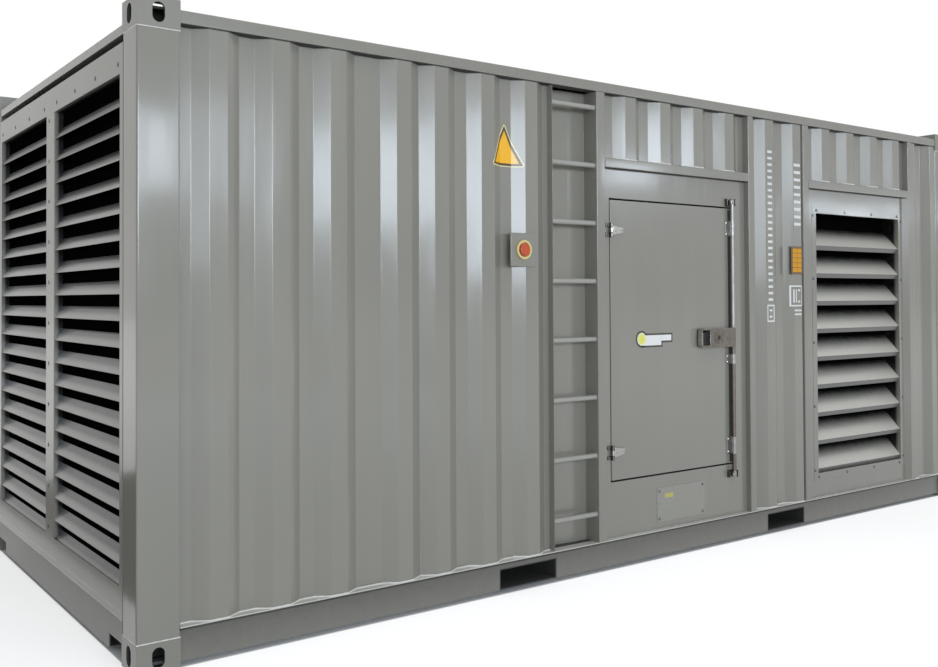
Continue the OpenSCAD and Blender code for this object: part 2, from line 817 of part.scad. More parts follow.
module side_louvre_frames() {
    y0 = panel_inset;
    x0 = post3_x + post3_w;
    color("darkgray") placed() both_sides() {
        difference() {
            block([x0, y0, sill_top], [post4_x, y0 + blade_t, lintel_z]);
            block([vent_x, y0 - 1, vent_z], [vent_x + vent_w, y0 + blade_t + 1, vent_z + vent_h]);
        }
        difference() {
            block([vent_x - blade_t, y0 + blade_t, vent_z - blade_t],
                  [vent_x + vent_w + blade_t, y0 + vent_tunnel, vent_z + vent_h + blade_t]);
            block([vent_x, y0, vent_z],
                  [vent_x + vent_w, y0 + vent_tunnel + 1, vent_z + vent_h]);
        }
    }
}

module side_louvre_blades() {
    color("darkgray") placed() both_sides() for (k = [0:vent_blades - 1])
        translate([vent_x, panel_inset + vent_set, vent_z + vent_foot + k * vent_pitch])
            blade(vent_w, vent_blade_d, vent_blade_h, vent_lip, -vent_tuck, blade_t);
}

// Front plate of the end louvres with two openings and jambs behind it.
module end_louvre_frames() {
    x0 = frame_inset;
    color("darkgray") placed() both_ends() {
        difference() {
            block([x0, casting_w, end_sill_top], [x0 + blade_t, width - casting_w, grille_frame_top]);
            block([x0 - 1, grille_side, grille_z], [x0 + blade_t + 1, width - grille_side, grille_top]);
        }
        difference() {
            block([x0 + blade_t, grille_side - blade_t, jamb_low - blade_t],
                  [x0 + jamb_d, width - grille_side + blade_t, grille_top + blade_t]);
            block([x0, grille_side, jamb_low], [x0 + jamb_d + 1, width - grille_side, grille_top]);
        }
    }
}

module end_louvre_mullions() {
    color("darkgray") placed() both_ends()
        tube([frame_inset, (width - mullion_w) / 2, grille_z],
             [frame_inset + jamb_d, (width + mullion_w) / 2, grille_top], blade_t, 2);
}

module end_louvre_blades() {
    color("darkgray") placed() both_ends() for (side = [0, 1]) for (k = [0:grille_n - 1])
        translate([frame_inset + blade_t + 0.5, grille_side + side * (grille_w + mullion_w),
                   grille_blade_z - k * grille_pitch])
            mirror([0, 1, 0]) rotate([0, 0, -90])
                blade(grille_w, grille_blade_d, grille_blade_h, grille_lip, grille_lean, blade_t);
}

// Moves a fitting to the middle of the emergency stop box, with z outwards.
module on_stop_box() {
    placed() translate([stop_x + stop_w / 2, crest_y - stop_d, stop_z]) rotate([90, 0, 0]) children();
}

// Flat box with a bore that guides the button's stem.
module stop_box() {
    color("darkgray") on_stop_box() difference() {
        block([-stop_w / 2, -stop_h / 2, -stop_d], [stop_w / 2, stop_h / 2, 0]);
        translate([0, 0, -stop_d - 1]) cylinder(r = stem_r + pin_gap, h = stop_d + 2);
    }
}

// Collar with a thin base plate round the button's stem.
module stop_collar() {
    color("gold") on_stop_box() difference() {
        cylinder(r = ring_r, h = ring_h);
        translate([0, 0, collar_base]) cylinder(r = mushroom_r + collar_gap, h = ring_h);
        translate([0, 0, -1]) cylinder(r = stem_r + collar_gap, h = ring_h);
    }
}

// Mushroom head on its stem, which runs in the box's bore.
module stop_button() {
    head_z = collar_base + press + collar_gap;
    stem_end = -stop_d + press + clear;
    color("firebrick") on_stop_box() {
        translate([0, 0, stem_end]) cylinder(r = stem_r, h = head_z - stem_end);
        translate([0, 0, head_z]) cylinder(r = mushroom_r, h = 4);
        translate([0, 0, head_z + 4]) cylinder(r1 = mushroom_r, r2 = mushroom_r - 5, h = 4);
    }
}

module plate_under_door() {
    color("darkgray") placed()
        block([plate_x, panel_inset - 2, plate_z], [plate_x + plate_w, panel_inset, plate_z + plate_h]);
}

// Disc and bar in one thin plate on the leaf.
module handle_tag() {
    color("gold") placed() translate([tag_x + tag_r, panel_inset, tag_z]) rotate([90, 0, 0])
        linear_extrude(1.5) {
            circle(r = tag_r);
            translate([tag_r * 0.4, -tag_r * 0.7]) square([tag_w - tag_r * 1.4, tag_r * 1.1]);
        }
}

// Triangular plate bent to the corrugation of the wall.
module triangle_plate() {
    color("gold") placed() intersection() {
        corrugated(casting_l, ladder_x, wall_low, rail_low, crest_starts[0], 1, 1);
        translate([0, flat_y, triangle_z]) rotate([90, 0, 0]) linear_extrude(2 * flat_y)
            polygon([[triangle_x - triangle_w / 2, 0], [triangle_x + triangle_w / 2, 0],
                     [triangle_x, triangle_h]]);
    }
}

module amber_marker() {
    color("orange") placed()
        block([marker_x, crest_y - 6, marker_z], [marker_x + marker_w, crest_y, marker_z + marker_h]);
}

corner_castings_bottom();
corner_castings_top();
corner_posts();
top_side_rails();
top_end_rails();
bottom_side_rails();
bottom_end_sills();
fork_pockets();
floor_bearers();
floor_plate();  // floor
roof();
front_wall_left();
front_wall_over_door();
front_wall_middle();
front_wall_over_louvre();
front_wall_right();
back_wall_left();
back_wall_over_louvre();
back_wall_right();
wall_posts();
wall_lintels();
ladder_recess();
ladder_rungs();
door_surround();
door_leaf();
hinge_brackets();
hinge_straps();
lock_rod();
handle_box();
handle_base();
rod_guides();
rod_keepers();
side_louvre_frames();
side_louvre_blades();
end_louvre_frames();
end_louvre_mullions();
end_louvre_blades();
stop_box();
stop_collar();
stop_button();
plate_under_door();
handle_tag();
triangle_plate();
amber_marker();
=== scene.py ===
import math
import random

import bmesh
import bpy
from mathutils import Matrix, Vector
from mathutils.bvhtree import BVHTree


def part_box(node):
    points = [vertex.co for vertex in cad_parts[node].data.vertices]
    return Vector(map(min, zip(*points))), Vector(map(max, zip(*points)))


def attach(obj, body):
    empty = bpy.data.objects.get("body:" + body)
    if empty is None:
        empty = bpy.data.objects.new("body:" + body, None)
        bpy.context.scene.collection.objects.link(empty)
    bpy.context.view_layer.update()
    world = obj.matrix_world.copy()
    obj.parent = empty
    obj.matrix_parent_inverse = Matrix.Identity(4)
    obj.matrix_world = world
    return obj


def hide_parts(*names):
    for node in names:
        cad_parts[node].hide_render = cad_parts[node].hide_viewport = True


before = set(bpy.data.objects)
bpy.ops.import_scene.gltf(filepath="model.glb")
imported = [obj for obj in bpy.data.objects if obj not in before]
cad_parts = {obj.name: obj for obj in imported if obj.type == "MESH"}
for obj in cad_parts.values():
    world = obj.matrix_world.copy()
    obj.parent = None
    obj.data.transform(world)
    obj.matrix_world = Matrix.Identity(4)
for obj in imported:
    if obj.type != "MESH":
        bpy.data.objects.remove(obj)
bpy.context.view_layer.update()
mm = 0.001
enclosure = "enclosure"


def cadMesh(node):
    # merged copy of a CAD node, without the triangles' inner edges
    bm = bmesh.new()
    bm.from_mesh(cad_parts[node].data)
    bmesh.ops.remove_doubles(bm, verts=bm.verts, dist=0.02 * mm)
    bmesh.ops.dissolve_limit(bm, angle_limit=math.radians(0.5), verts=bm.verts, edges=bm.edges)
    bm.normal_update()
    return bm


def levelsOf(node, step, digits=1):
    # lower and upper ends of the separate blocks in a node
    found = []
    for z in sorted({round(v.co.z / mm, digits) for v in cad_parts[node].data.vertices}):
        if found and z - found[-1][-1] < step:
            found[-1].append(z)
        else:
            found.append([z])
    return [(min(group) * mm, max(group) * mm) for group in found]


def sharpEdges(bm, turn=40, most=180, along=None, shortest=0.0, concave=False):
    # edges that turn enough, by their angle in degrees, their axis and their length
    found = []
    for edge in bm.edges:
        if not edge.is_manifold or edge.calc_length() < shortest * mm:
            continue
        if not turn <= math.degrees(edge.calc_face_angle()) <= most:
            continue
        if not concave and not edge.is_convex:
            continue
        if along is not None:
            direction = (edge.verts[1].co - edge.verts[0].co).normalized()
            if abs(direction[along]) < 0.99:
                continue
        found.append(edge)
    return found


def roundEdges(bm, edges, radius, segments=3):
    bmesh.ops.bevel(bm, geom=edges, offset=radius * mm, offset_type="OFFSET", segments=segments,
                    profile=0.5, affect="EDGES", clamp_overlap=True, material=-1)


def edgesOf(verts):
    return list({edge for vert in verts for edge in vert.link_edges})


def addBlock(bm, a, b, radius=0.0, segments=3):
    # box between two opposite corners in metres, with rounded edges
    low = Vector([min(pair) for pair in zip(a, b)])
    high = Vector([max(pair) for pair in zip(a, b)])
    place = Matrix.Translation((low + high) / 2) @ Matrix.Diagonal((*(high - low), 1))
    verts = bmesh.ops.create_cube(bm, size=1, matrix=place)["verts"]
    if radius:
        roundEdges(bm, edgesOf(verts), radius, segments)


def addFrame(bm, low, high, wide, radius, segments):
    # four flat bars round the outside of an upright opening
    x0, y0, z0 = low
    x1, y1, z1 = high
    for a, b in (((x0 - wide, z0), (x0, z1)), ((x1, z0), (x1 + wide, z1)),
                 ((x0 - wide, z0 - wide), (x1 + wide, z0)), ((x0 - wide, z1), (x1 + wide, z1 + wide))):
        addBlock(bm, (a[0], y0, a[1]), (b[0], y1, b[1]), radius, segments)


def facing(centre, direction):
    turn = Vector(direction).to_track_quat("Z", "Y").to_matrix().to_4x4()
    return Matrix.Translation(Vector(centre)) @ turn


def addBarrel(bm, start, end, radius, rim=0.0, segments=32):
    # round bar between two points, with rounded rims
    start, end = Vector(start), Vector(end)
    verts = bmesh.ops.create_cone(bm, cap_ends=True, segments=segments, radius1=radius * mm,
                                  radius2=radius * mm, depth=(end - start).length,
                                  matrix=facing((start + end) / 2, end - start))["verts"]
    if rim:
        rims = [e for e in edgesOf(verts) if e.is_manifold and e.calc_face_angle() > math.radians(50)]
        roundEdges(bm, rims, rim)


def addDome(bm, centre, direction, radius, height, segments=14):
    shape = facing(centre, direction) @ Matrix.Diagonal((radius * mm, radius * mm, height * mm, 1))
    bmesh.ops.create_uvsphere(bm, u_segments=segments, v_segments=8, radius=1, matrix=shape)


def addScrew(bm, centre, direction, radius=6.0, rise=4.0):
    # pan head on a washer, up to the given height above the sheet
    centre, direction = Vector(centre), Vector(direction).normalized()
    addBarrel(bm, centre, centre + direction * 0.3 * rise * mm, radius * 1.35, segments=14)
    addDome(bm, centre + direction * 0.25 * rise * mm, direction, radius, rise * 0.75, segments=10)


def addLaid(bm, skin, low, high, lift, across):
    # thin strip laid over the folds of a wall, between two (x, z) corners in metres
    rows = []
    for z in (low[1], high[1]):
        hits = [skin.ray_cast(Vector((x, -1.4, z)), Vector((0, 1, 0)))[0]
                for x in spread(low[0], high[0], across)]
        rows.append([bm.verts.new(hit - Vector((0, lift * mm, 0))) for hit in hits])
    for k in range(across - 1):
        bm.faces.new((rows[0][k], rows[0][k + 1], rows[1][k + 1], rows[1][k]))


def spread(low, high, count):
    # evenly spaced values from low to high
    return [low + (high - low) * k / (count - 1) for k in range(count)]


def addObject(name, data):
    thing = bpy.data.objects.new(name, data)
    bpy.context.scene.collection.objects.link(thing)
    return thing


def makePiece(name, bm, materials, body=enclosure, replaces=(), smooth=32):
    # finished piece on its body, in place of the CAD nodes it stands for
    mesh = bpy.data.meshes.new(name)
    bm.normal_update()
    bm.to_mesh(mesh)
    bm.free()
    for material in materials:
        mesh.materials.append(material)
    mesh.shade_smooth()
    mesh.set_sharp_from_angle(angle=math.radians(smooth))
    piece = addObject(name, mesh)
    piece.modifiers.new("faceNormals", "WEIGHTED_NORMAL").keep_sharp = True
    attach(piece, body)
    if replaces:
        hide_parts(*replaces)
    return piece


def paintUnder(bm, tilt):
    # the second finish on the faces that don't look upwards: a dark painted shade under the top rails,
    # lintels and side blades, and a lighter painted highlight on the end blades' lips
    for face in bm.faces:
        if face.normal.z < tilt:
            face.material_index = 1


def paintInside(bm, inward):
    # the faces that look into the enclosure take a near-black painted shade
    for face in bm.faces:
        if face.normal.dot(Vector(inward)) > 0.3:
            face.material_index = 1


def softCopy(node, radius, materials, name=None, segments=3, body=enclosure, slot="grey_paint", smooth=32,
             under=None, **edges):
    # CAD node with the edges that sharpEdges picks rounded
    bm = cadMesh(node)
    if under is not None:
        paintUnder(bm, under)
    roundEdges(bm, sharpEdges(bm, **edges), radius, segments)
    return makePiece(name or node + "_finished", bm, materials, body, [node], smooth)


def addBead(bm, points, radius, seed, ripple=0.25, step=None):
    # weld bead along a line in steps, or round a closed ring, a little uneven
    random.seed(seed)
    if step:
        points = stepsAlong(points, step)
    curve = bpy.data.curves.new("bead", "CURVE")
    curve.dimensions = "3D"
    curve.bevel_depth = radius * mm
    curve.bevel_resolution = 1
    curve.use_fill_caps = step is not None
    spline = curve.splines.new("POLY")
    spline.points.add(len(points) - 1)
    spline.use_cyclic_u = step is None
    for point, place in zip(spline.points, points):
        point.co = (*place, 1)
        point.radius = 1 - ripple * random.random()
    holder = bpy.data.objects.new("bead", curve)
    mesh = bpy.data.meshes.new_from_object(holder)
    bm.from_mesh(mesh)
    bpy.data.objects.remove(holder)
    bpy.data.curves.remove(curve)
    bpy.data.meshes.remove(mesh)


def stepsAlong(points, step):
    # points at even steps along a broken line, in metres
    found = []
    for start, end in zip(points, points[1:]):
        start, end = Vector(start), Vector(end)
        count = max(1, round((end - start).length / (step * mm)))
        found += [start.lerp(end, k / count) for k in range(count)]
    return found + [Vector(points[-1])]


def newMaterial(name):
    material = bpy.data.materials.new(name)
    material.use_nodes = True
    tree = material.node_tree
    return material, tree, tree.nodes["Principled BSDF"]


def newGroup(name, inputs, outputs):
    # node group with the sockets that its default values call for
    tree = bpy.data.node_groups.new(name, "ShaderNodeTree")
    for label, value in inputs.items():
        kind = "Float" if isinstance(value, float) else "Color" if len(value) == 4 else "Vector"
        socket = tree.interface.new_socket(name=label, in_out="INPUT", socket_type="NodeSocket" + kind)
        socket.default_value = value
    for label in outputs:
        kind = "Color" if label == "Colour" else "Float"
        tree.interface.new_socket(name=label, in_out="OUTPUT", socket_type="NodeSocket" + kind)
    return tree, tree.nodes.new("NodeGroupInput").outputs


def closeGroup(tree, results):
    out = tree.nodes.new("NodeGroupOutput")
    for label, value in results.items():
        tree.links.new(value, out.inputs[label])
    return tree


def addNode(tree, kind, inputs, **settings):
    # shader node whose inputs are plain values or other nodes' outputs
    node = tree.nodes.new("ShaderNode" + kind)
    for label, value in settings.items():
        setattr(node, label, value)
    for label, value in inputs.items():
        if isinstance(value, bpy.types.NodeSocket):
            tree.links.new(value, node.inputs[label])
        else:
            node.inputs[label].default_value = value
    return node


def mathNode(tree, operation, a, b=0.0):
    return addNode(tree, "Math", {0: a, 1: b}, operation=operation).outputs[0]


def plus(tree, a, b):
    return mathNode(tree, "ADD", a, b)


def times(tree, a, b):
    return mathNode(tree, "MULTIPLY", a, b)


def centred(tree, value, amount):
    return times(tree, mathNode(tree, "SUBTRACT", value, 0.5), amount)


def objectPlace(tree):
    return tree.nodes.new("ShaderNodeTexCoord").outputs["Object"]


def dotNode(tree, a, b):
    return addNode(tree, "VectorMath", {0: a, 1: b}, operation="DOT_PRODUCT").outputs["Value"]


def mixColour(tree, factor, a, b):
    return addNode(tree, "Mix", {"Factor": factor, "A": a, "B": b}, data_type="RGBA").outputs["Result"]


def noiseNode(tree, place, scale, detail=2.0, stretch=None):
    if stretch:
        place = addNode(tree, "Mapping", {"Vector": place, "Scale": stretch}).outputs["Vector"]
    return addNode(tree, "TexNoise", {"Vector": place, "Scale": scale, "Detail": detail}).outputs["Fac"]


def buildPaintFilm():
    # sprayed film: faint clouds, vertical wipes, dust low down, sheet waviness and peel
    tree, given = newGroup("paintFilm", {"Colour": (0.27, 0.27, 0.25, 1), "Clouds": 0.08, "Wipes": 0.06,
                                         "Dust": 0.15, "Rough": 0.35, "Waves": 1.0, "Peel": 1.0},
                           ("Colour", "Roughness", "Height"))
    place = objectPlace(tree)
    clouds = noiseNode(tree, place, 1.7, 4.0)
    wipes = noiseNode(tree, place, 1.0, 3.0, (9.0, 9.0, 0.9))
    fine = noiseNode(tree, place, 60.0)
    shift = plus(tree, centred(tree, clouds, given["Clouds"]), centred(tree, wipes, given["Wipes"]))
    tone = addNode(tree, "HueSaturation", {"Color": given["Colour"], "Value": plus(tree, shift, 1.0)})
    level = addNode(tree, "SeparateXYZ", {0: place}).outputs["Z"]
    low = addNode(tree, "MapRange", {"Value": level, "From Min": 0.75, "From Max": 0.05}).outputs["Result"]
    spots = noiseNode(tree, place, 14.0, 4.0, (1.0, 1.0, 0.35))
    dusty = times(tree, times(tree, low, spots), given["Dust"])
    rough = plus(tree, centred(tree, clouds, 0.12), centred(tree, fine, 0.05))
    rough = plus(tree, rough, times(tree, dusty, 0.6))
    waves = noiseNode(tree, place, 1.0, 1.5, (3.2, 3.2, 1.5))
    ripples = noiseNode(tree, place, 1.0, 1.0, (22.0, 22.0, 2.6))
    height = plus(tree, times(tree, waves, 3.6 * mm), times(tree, ripples, 0.6 * mm))
    peel = times(tree, times(tree, noiseNode(tree, place, 260.0, 1.0), 0.02 * mm), given["Peel"])
    return closeGroup(tree, {
        "Colour": mixColour(tree, dusty, tone.outputs["Color"], (0.42, 0.40, 0.35, 1)),
        "Roughness": plus(tree, rough, given["Rough"]),
        "Height": plus(tree, times(tree, height, given["Waves"]), peel)})


def buildBrushing():
    # drawn or brushed metal: fine lines along one axis, with stains
    tree, given = newGroup("brushing", {"Colour": (0.6, 0.6, 0.6, 1), "Stain": (0.3, 0.27, 0.22, 1),
                                        "Amount": 0.3, "Rough": 0.3}, ("Colour", "Roughness", "Height"))
    place = objectPlace(tree)
    lines = noiseNode(tree, place, 1.0, 3.0, (900.0, 900.0, 40.0))
    stains = noiseNode(tree, place, 38.0, 3.0)
    rough = plus(tree, centred(tree, lines, 0.18), centred(tree, stains, 0.2))
    return closeGroup(tree, {
        "Colour": mixColour(tree, times(tree, stains, given["Amount"]), given["Colour"], given["Stain"]),
        "Roughness": plus(tree, rough, given["Rough"]),
        "Height": times(tree, lines, 0.01 * mm)})


def buildDepthShade():
    # painted shade that deepens along one axis from Outside to Inside, a little patchy: deeper behind the
    # louvre faces, and higher up the bottom rails
    tree, given = newGroup("depthShade", {"Colour": (0.27, 0.27, 0.25, 1), "Axis": (0, 1, 0), "Outside": 1.18,
                                    "Inside": 1.08}, ("Colour",))
    place = objectPlace(tree)
    reach = mathNode(tree, "ABSOLUTE", dotNode(tree, place, given["Axis"]))
    depth = addNode(tree, "MapRange", {"Value": reach, "From Min": given["Outside"],
                                       "From Max": given["Inside"]}, interpolation_type="SMOOTHSTEP")
    patchy = plus(tree, centred(tree, noiseNode(tree, place, 25.0, 3.0), 0.25), depth.outputs["Result"])
    patchy = times(tree, patchy, depth.outputs["Result"])
    return closeGroup(tree, {"Colour": mixColour(tree, patchy, given["Colour"], (0.006, 0.006, 0.006, 1))})


paintFilm = buildPaintFilm()
brushing = buildBrushing()
depthShade = buildDepthShade()


def useGroup(tree, shader, group, values, paintedShade=None):
    film = addNode(tree, "Group", values, node_tree=group).outputs
    colour = film["Colour"]
    if paintedShade:
        colour = addNode(tree, "Group", {**paintedShade, "Colour": colour}, node_tree=depthShade).outputs["Colour"]
    bump = addNode(tree, "Bump", {"Distance": 1.0, "Height": film["Height"]})
    tree.links.new(colour, shader.inputs["Base Color"])
    tree.links.new(film["Roughness"], shader.inputs["Roughness"])
    tree.links.new(bump.outputs["Normal"], shader.inputs["Normal"])


def paint(name, colour, rough=0.22, clouds=0.08, wipes=0.06, dust=0.0, waves=0.0, peel=0.3, coat=0.3,
          specular=0.45, paintedShade=None):
    material, tree, shader = newMaterial(name)
    useGroup(tree, shader, paintFilm, {"Colour": (*colour, 1), "Clouds": clouds, "Wipes": wipes,
                                       "Dust": dust, "Rough": rough, "Waves": waves, "Peel": peel}, paintedShade)
    shader.inputs["Coat Weight"].default_value = coat
    shader.inputs["Coat Roughness"].default_value = 0.09
    shader.inputs["Specular IOR Level"].default_value = specular
    return material


def metal(name, colour, stain, amount, rough):
    material, tree, shader = newMaterial(name)
    useGroup(tree, shader, brushing, {"Colour": (*colour, 1), "Stain": (*stain, 1), "Amount": amount,
                                      "Rough": rough})
    shader.inputs["Metallic"].default_value = 1.0
    return material


finishes = {
    "grey": (0.214, 0.206, 0.178),
    "greyFrame": (0.206, 0.199, 0.172),
    "greyCast": (0.188, 0.182, 0.157),
    "insideShade": (0.010, 0.010, 0.010),
}
# painted shade, deeper behind the faces of the louvres and their jambs
sideShade = {"Axis": (0, 1, 0), "Outside": 1.180, "Inside": 1.075}
jambShade = {"Axis": (0, 1, 0), "Outside": 1.180, "Inside": 1.145}
endShade = {"Axis": (1, 0, 0), "Outside": 3.020, "Inside": 3.000}
# painted shade towards the top of the bottom rails, under the flange
railShade = {"Axis": (0, 0, 1), "Outside": -0.300, "Inside": 0.380}

greyPaint = paint("greyPaint", finishes["grey"], rough=0.2, wipes=0.09, waves=1.6, dust=0.03)
framePaint = paint("framePaint", finishes["greyFrame"], rough=0.24, waves=0.35)
postPaint = paint("postPaint", finishes["greyFrame"], rough=0.13, waves=0.9)
railPaint = paint("railPaint", finishes["greyFrame"], rough=0.32, waves=0.35, peel=0.0, coat=0.1,
                  paintedShade=railShade)
sillPaint = paint("sillPaint", (0.150, 0.148, 0.134), rough=0.40, waves=0.35, peel=0.0, coat=0.1)
# lighter finish for the rail flange, a painted highlight
railLipHighlight = paint("railLipHighlight", (0.50, 0.49, 0.45), rough=0.26, waves=0.2)
# near-black finish for the side blades' lips and undersides, a painted shade
sideLipShade = paint("sideLipShade", (0.085, 0.085, 0.078), rough=0.35, waves=0.2)
# lighter finish for the end blades' lips and the fold lines at the foot of the end panels, a painted
# highlight
endLipHighlight = paint("endLipHighlight", (0.34, 0.337, 0.31), rough=0.3, waves=0.2)
# near-black finish for the sheets behind the louvres, a painted shade
shadeSheetPaint = paint("shadeSheetPaint", (0.002, 0.002, 0.002), rough=0.95, clouds=0.2, peel=0.0, coat=0.0,
                   specular=0.0)
castingPaint = paint("castingPaint", finishes["greyCast"], rough=0.34, clouds=0.16, waves=0.5, peel=3.0,
                     dust=0.03)
# near-black inside of the castings, a painted shade
castingCoreShade = paint("castingCoreShade", (0.03, 0.03, 0.028), rough=0.7, clouds=0.4, waves=0.2, coat=0.0,
                    dust=0.03)
# side blades painted lighter than the walls, a painted highlight on their up-facing slopes, with painted
# shade deeper in
sideBladeLitPaint = paint("sideBladeLitPaint", (0.50, 0.485, 0.435), rough=0.32, waves=0.4, paintedShade=sideShade)
endBladePaint = paint("endBladePaint", (0.225, 0.224, 0.205), rough=0.34, waves=0.4, paintedShade=endShade)
sidePanelPaint = paint("sidePanelPaint", finishes["grey"], rough=0.13, waves=0.3, paintedShade=jambShade)
endPanelPaint = paint("endPanelPaint", finishes["greyFrame"], rough=0.3, waves=0.4, paintedShade=endShade)
platePaint = paint("platePaint", (0.245, 0.237, 0.208), rough=0.28, waves=0.3, peel=0.0)
# rungs a little lighter than the walls, partly a painted highlight
rungPaint = paint("rungPaint", (0.295, 0.290, 0.262), rough=0.24, waves=0.1, coat=0.15)
darkPaint = paint("darkPaint", (0.03, 0.03, 0.028), rough=0.55, waves=0.2, coat=0.0, dust=0.03)
# near-black finish for faces inside the enclosure, a painted shade
insideShadePaint = paint("insideShadePaint", finishes["insideShade"], rough=0.9, clouds=0.3, peel=12.0, coat=0.0,
                   specular=0.1, dust=0.03)
weldPaint = paint("weldPaint", (0.26, 0.26, 0.245), rough=0.24)
# pale bead finish, a painted highlight on the wall feet and casting seams
beadHighlight = paint("beadHighlight", (0.60, 0.59, 0.55), rough=0.22)
stencilPaint = paint("stencilPaint", (0.66, 0.67, 0.66), rough=0.5, clouds=0.3, coat=0.0, dust=0.03)
amberPlate = paint("amberPlate", (0.62, 0.28, 0.004), rough=0.42, waves=0.05, coat=0.1, specular=0.2)
amberEdge = paint("amberEdge", (0.10, 0.05, 0.012), rough=0.4)
blackPrint = paint("blackPrint", (0.02, 0.018, 0.016), rough=0.45)
stickerYellow = paint("stickerYellow", (0.42, 0.38, 0.10), rough=0.5)
tagPale = paint("tagPale", (0.70, 0.71, 0.42), rough=0.35)
tagYellow = paint("tagYellow", (0.68, 0.67, 0.10), rough=0.35)
tagWhite = paint("tagWhite", (0.72, 0.72, 0.71), rough=0.35)
redPlastic = paint("redPlastic", (0.46, 0.060, 0.014), rough=0.34, clouds=0.05, coat=0.05)
# dark red of the button's skirt, a painted shade
redShade = paint("redShade", (0.075, 0.013, 0.006), rough=0.4, clouds=0.05, coat=0.0)
ringCream = paint("ringCream", (0.66, 0.50, 0.20), rough=0.35, clouds=0.1)
sealRubber = paint("sealRubber", (0.10, 0.10, 0.092), rough=0.6, coat=0.0)
# near-black finish for the rod strip, the finger hollow and the keyhole, a painted shade
shadeBlack = paint("shadeBlack", (0.012, 0.012, 0.012), rough=0.7, coat=0.0, dust=0.03)
plateSteel = metal("plateSteel", (0.30, 0.30, 0.29), (0.14, 0.13, 0.12), 0.6, 0.32)
rodSteel = metal("rodSteel", (0.31, 0.305, 0.29), (0.15, 0.14, 0.125), 0.5, 0.44)
workedSteel = metal("workedSteel", (0.15, 0.135, 0.115), (0.07, 0.055, 0.045), 0.7, 0.40)
lockSteel = metal("lockSteel", (0.178, 0.169, 0.151), (0.072, 0.065, 0.056), 0.8, 0.22)
rimSteel = metal("rimSteel", (0.52, 0.51, 0.49), (0.24, 0.22, 0.20), 0.5, 0.24)
wingSteel = metal("wingSteel", (0.38, 0.385, 0.365), (0.18, 0.18, 0.17), 0.5, 0.28)
screwSteel = metal("screwSteel", (0.16, 0.16, 0.16), (0.05, 0.05, 0.05), 0.6, 0.4)
print("materials ready")


def makeCastings(node, casting):
    bm = cadMesh(node)
    outline = [e for e in sharpEdges(bm) if e.calc_length() > casting["rimLength"] * mm]
    roundEdges(bm, outline, casting["corner"], 4)
    rims = [e for e in sharpEdges(bm, turn=60) if e.calc_length() < casting["rimLength"] * mm]
    roundEdges(bm, rims, casting["rim"], 2)
    # faces deeper than the skin belong to the hollow core, which takes a near-black painted shade
    low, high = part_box(node)
    size = casting["size"]
    skin = casting["skin"] * mm
    planes = ((low.x, high.x, low.x + size[0] * mm, high.x - size[0] * mm),
              (low.y, high.y, low.y + size[1] * mm, high.y - size[1] * mm), (low.z, high.z))
    for face in bm.faces:
        middle = face.calc_center_median()
        near = min(abs(middle[k] - plane) for k in range(3) for plane in planes[k])
        if near > skin:
            face.material_index = 1
    makePiece(node + "_cast", bm, [castingPaint, castingCoreShade], replaces=[node])


casting = {"corner": 8.0, "rim": 2.5, "rimLength": 60.0, "skin": 4.5, "size": (178.0, 162.0)}
makeCastings("corner_castings_bottom", casting)
makeCastings("corner_castings_top", casting)

# the top side rails and lintels take dark paint on their downward faces, a painted shade
members = {
    "corner_posts": {"radius": 9.0, "materials": [postPaint], "along": 2, "segments": 5},
    "top_side_rails": {"radius": 7.0, "materials": [framePaint, darkPaint], "along": 0, "segments": 4,
                       "under": -0.9},
    "top_end_rails": {"radius": 5.0, "materials": [framePaint], "along": 1},
    "bottom_end_sills": {"radius": 1.8, "materials": [sillPaint], "along": 1},
    "fork_pockets": {"radius": 1.6, "materials": [darkPaint], "segments": 2, "slot": "dark_paint"},
    "floor_bearers": {"radius": 1.0, "materials": [darkPaint], "along": 1, "segments": 2,
                      "slot": "dark_paint"},
    "wall_posts": {"radius": 5.0, "materials": [framePaint], "along": 2, "segments": 4},
    "wall_lintels": {"radius": 5.0, "materials": [framePaint, darkPaint], "along": 0, "segments": 4,
                     "under": -0.9},
    "floor": {"radius": 1.0, "materials": [darkPaint], "segments": 2, "slot": "dark_paint"},
}
for node, finish in members.items():
    softCopy(node, **finish)


def makeRails(rail):
    # channel rails: their top flange painted lighter than the web below it, a painted highlight, and the web
    # darker towards its top, a painted shade
    bm = cadMesh("bottom_side_rails")
    roundEdges(bm, sharpEdges(bm, along=0), rail["edge"], 3)
    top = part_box("bottom_side_rails")[1].z
    for face in bm.faces:
        if face.calc_center_median().z > top - rail["flange"] * mm:
            face.material_index = 1
    makePiece("bottom_side_rails_finished", bm, [railPaint, railLipHighlight], replaces=["bottom_side_rails"])


makeRails({"edge": 1.6, "flange": 5.0})
print("frame ready")


def makeSheet(node, inward, bend, along):
    # folded sheet: rounded bends, and a near-black painted shade on the inner faces
    bm = cadMesh(node)
    bends = sharpEdges(bm, turn=5, most=75, along=along, concave=True)
    roundEdges(bm, bends, bend, 5)
    paintInside(bm, inward)
    return makePiece(node + "_folded", bm, [greyPaint, insideShadePaint], replaces=[node], smooth=40)


sheet = {"wallBend": 10.0, "roofBend": 6.0}
frontWalls = ("front_wall_left", "front_wall_over_door", "front_wall_middle", "front_wall_over_louvre",
              "front_wall_right")
backWalls = ("back_wall_left", "back_wall_over_louvre", "back_wall_right")
walls = {}
for node in frontWalls + backWalls:
    walls[node] = makeSheet(node, (0, 1 if node in frontWalls else -1, 0), sheet["wallBend"], 2)
makeSheet("roof", (0, 0, -1), sheet["roofBend"], 1)


def skinLine(node, level, side):
    # outer line of a corrugated wall at a height, as points in metres
    outer = {}
    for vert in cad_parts[node].data.vertices:
        key = round(vert.co.x, 4)
        if key not in outer or vert.co.y * side > outer[key] * side:
            outer[key] = vert.co.y
    return [Vector((x, outer[x], level)) for x in sorted(outer)]


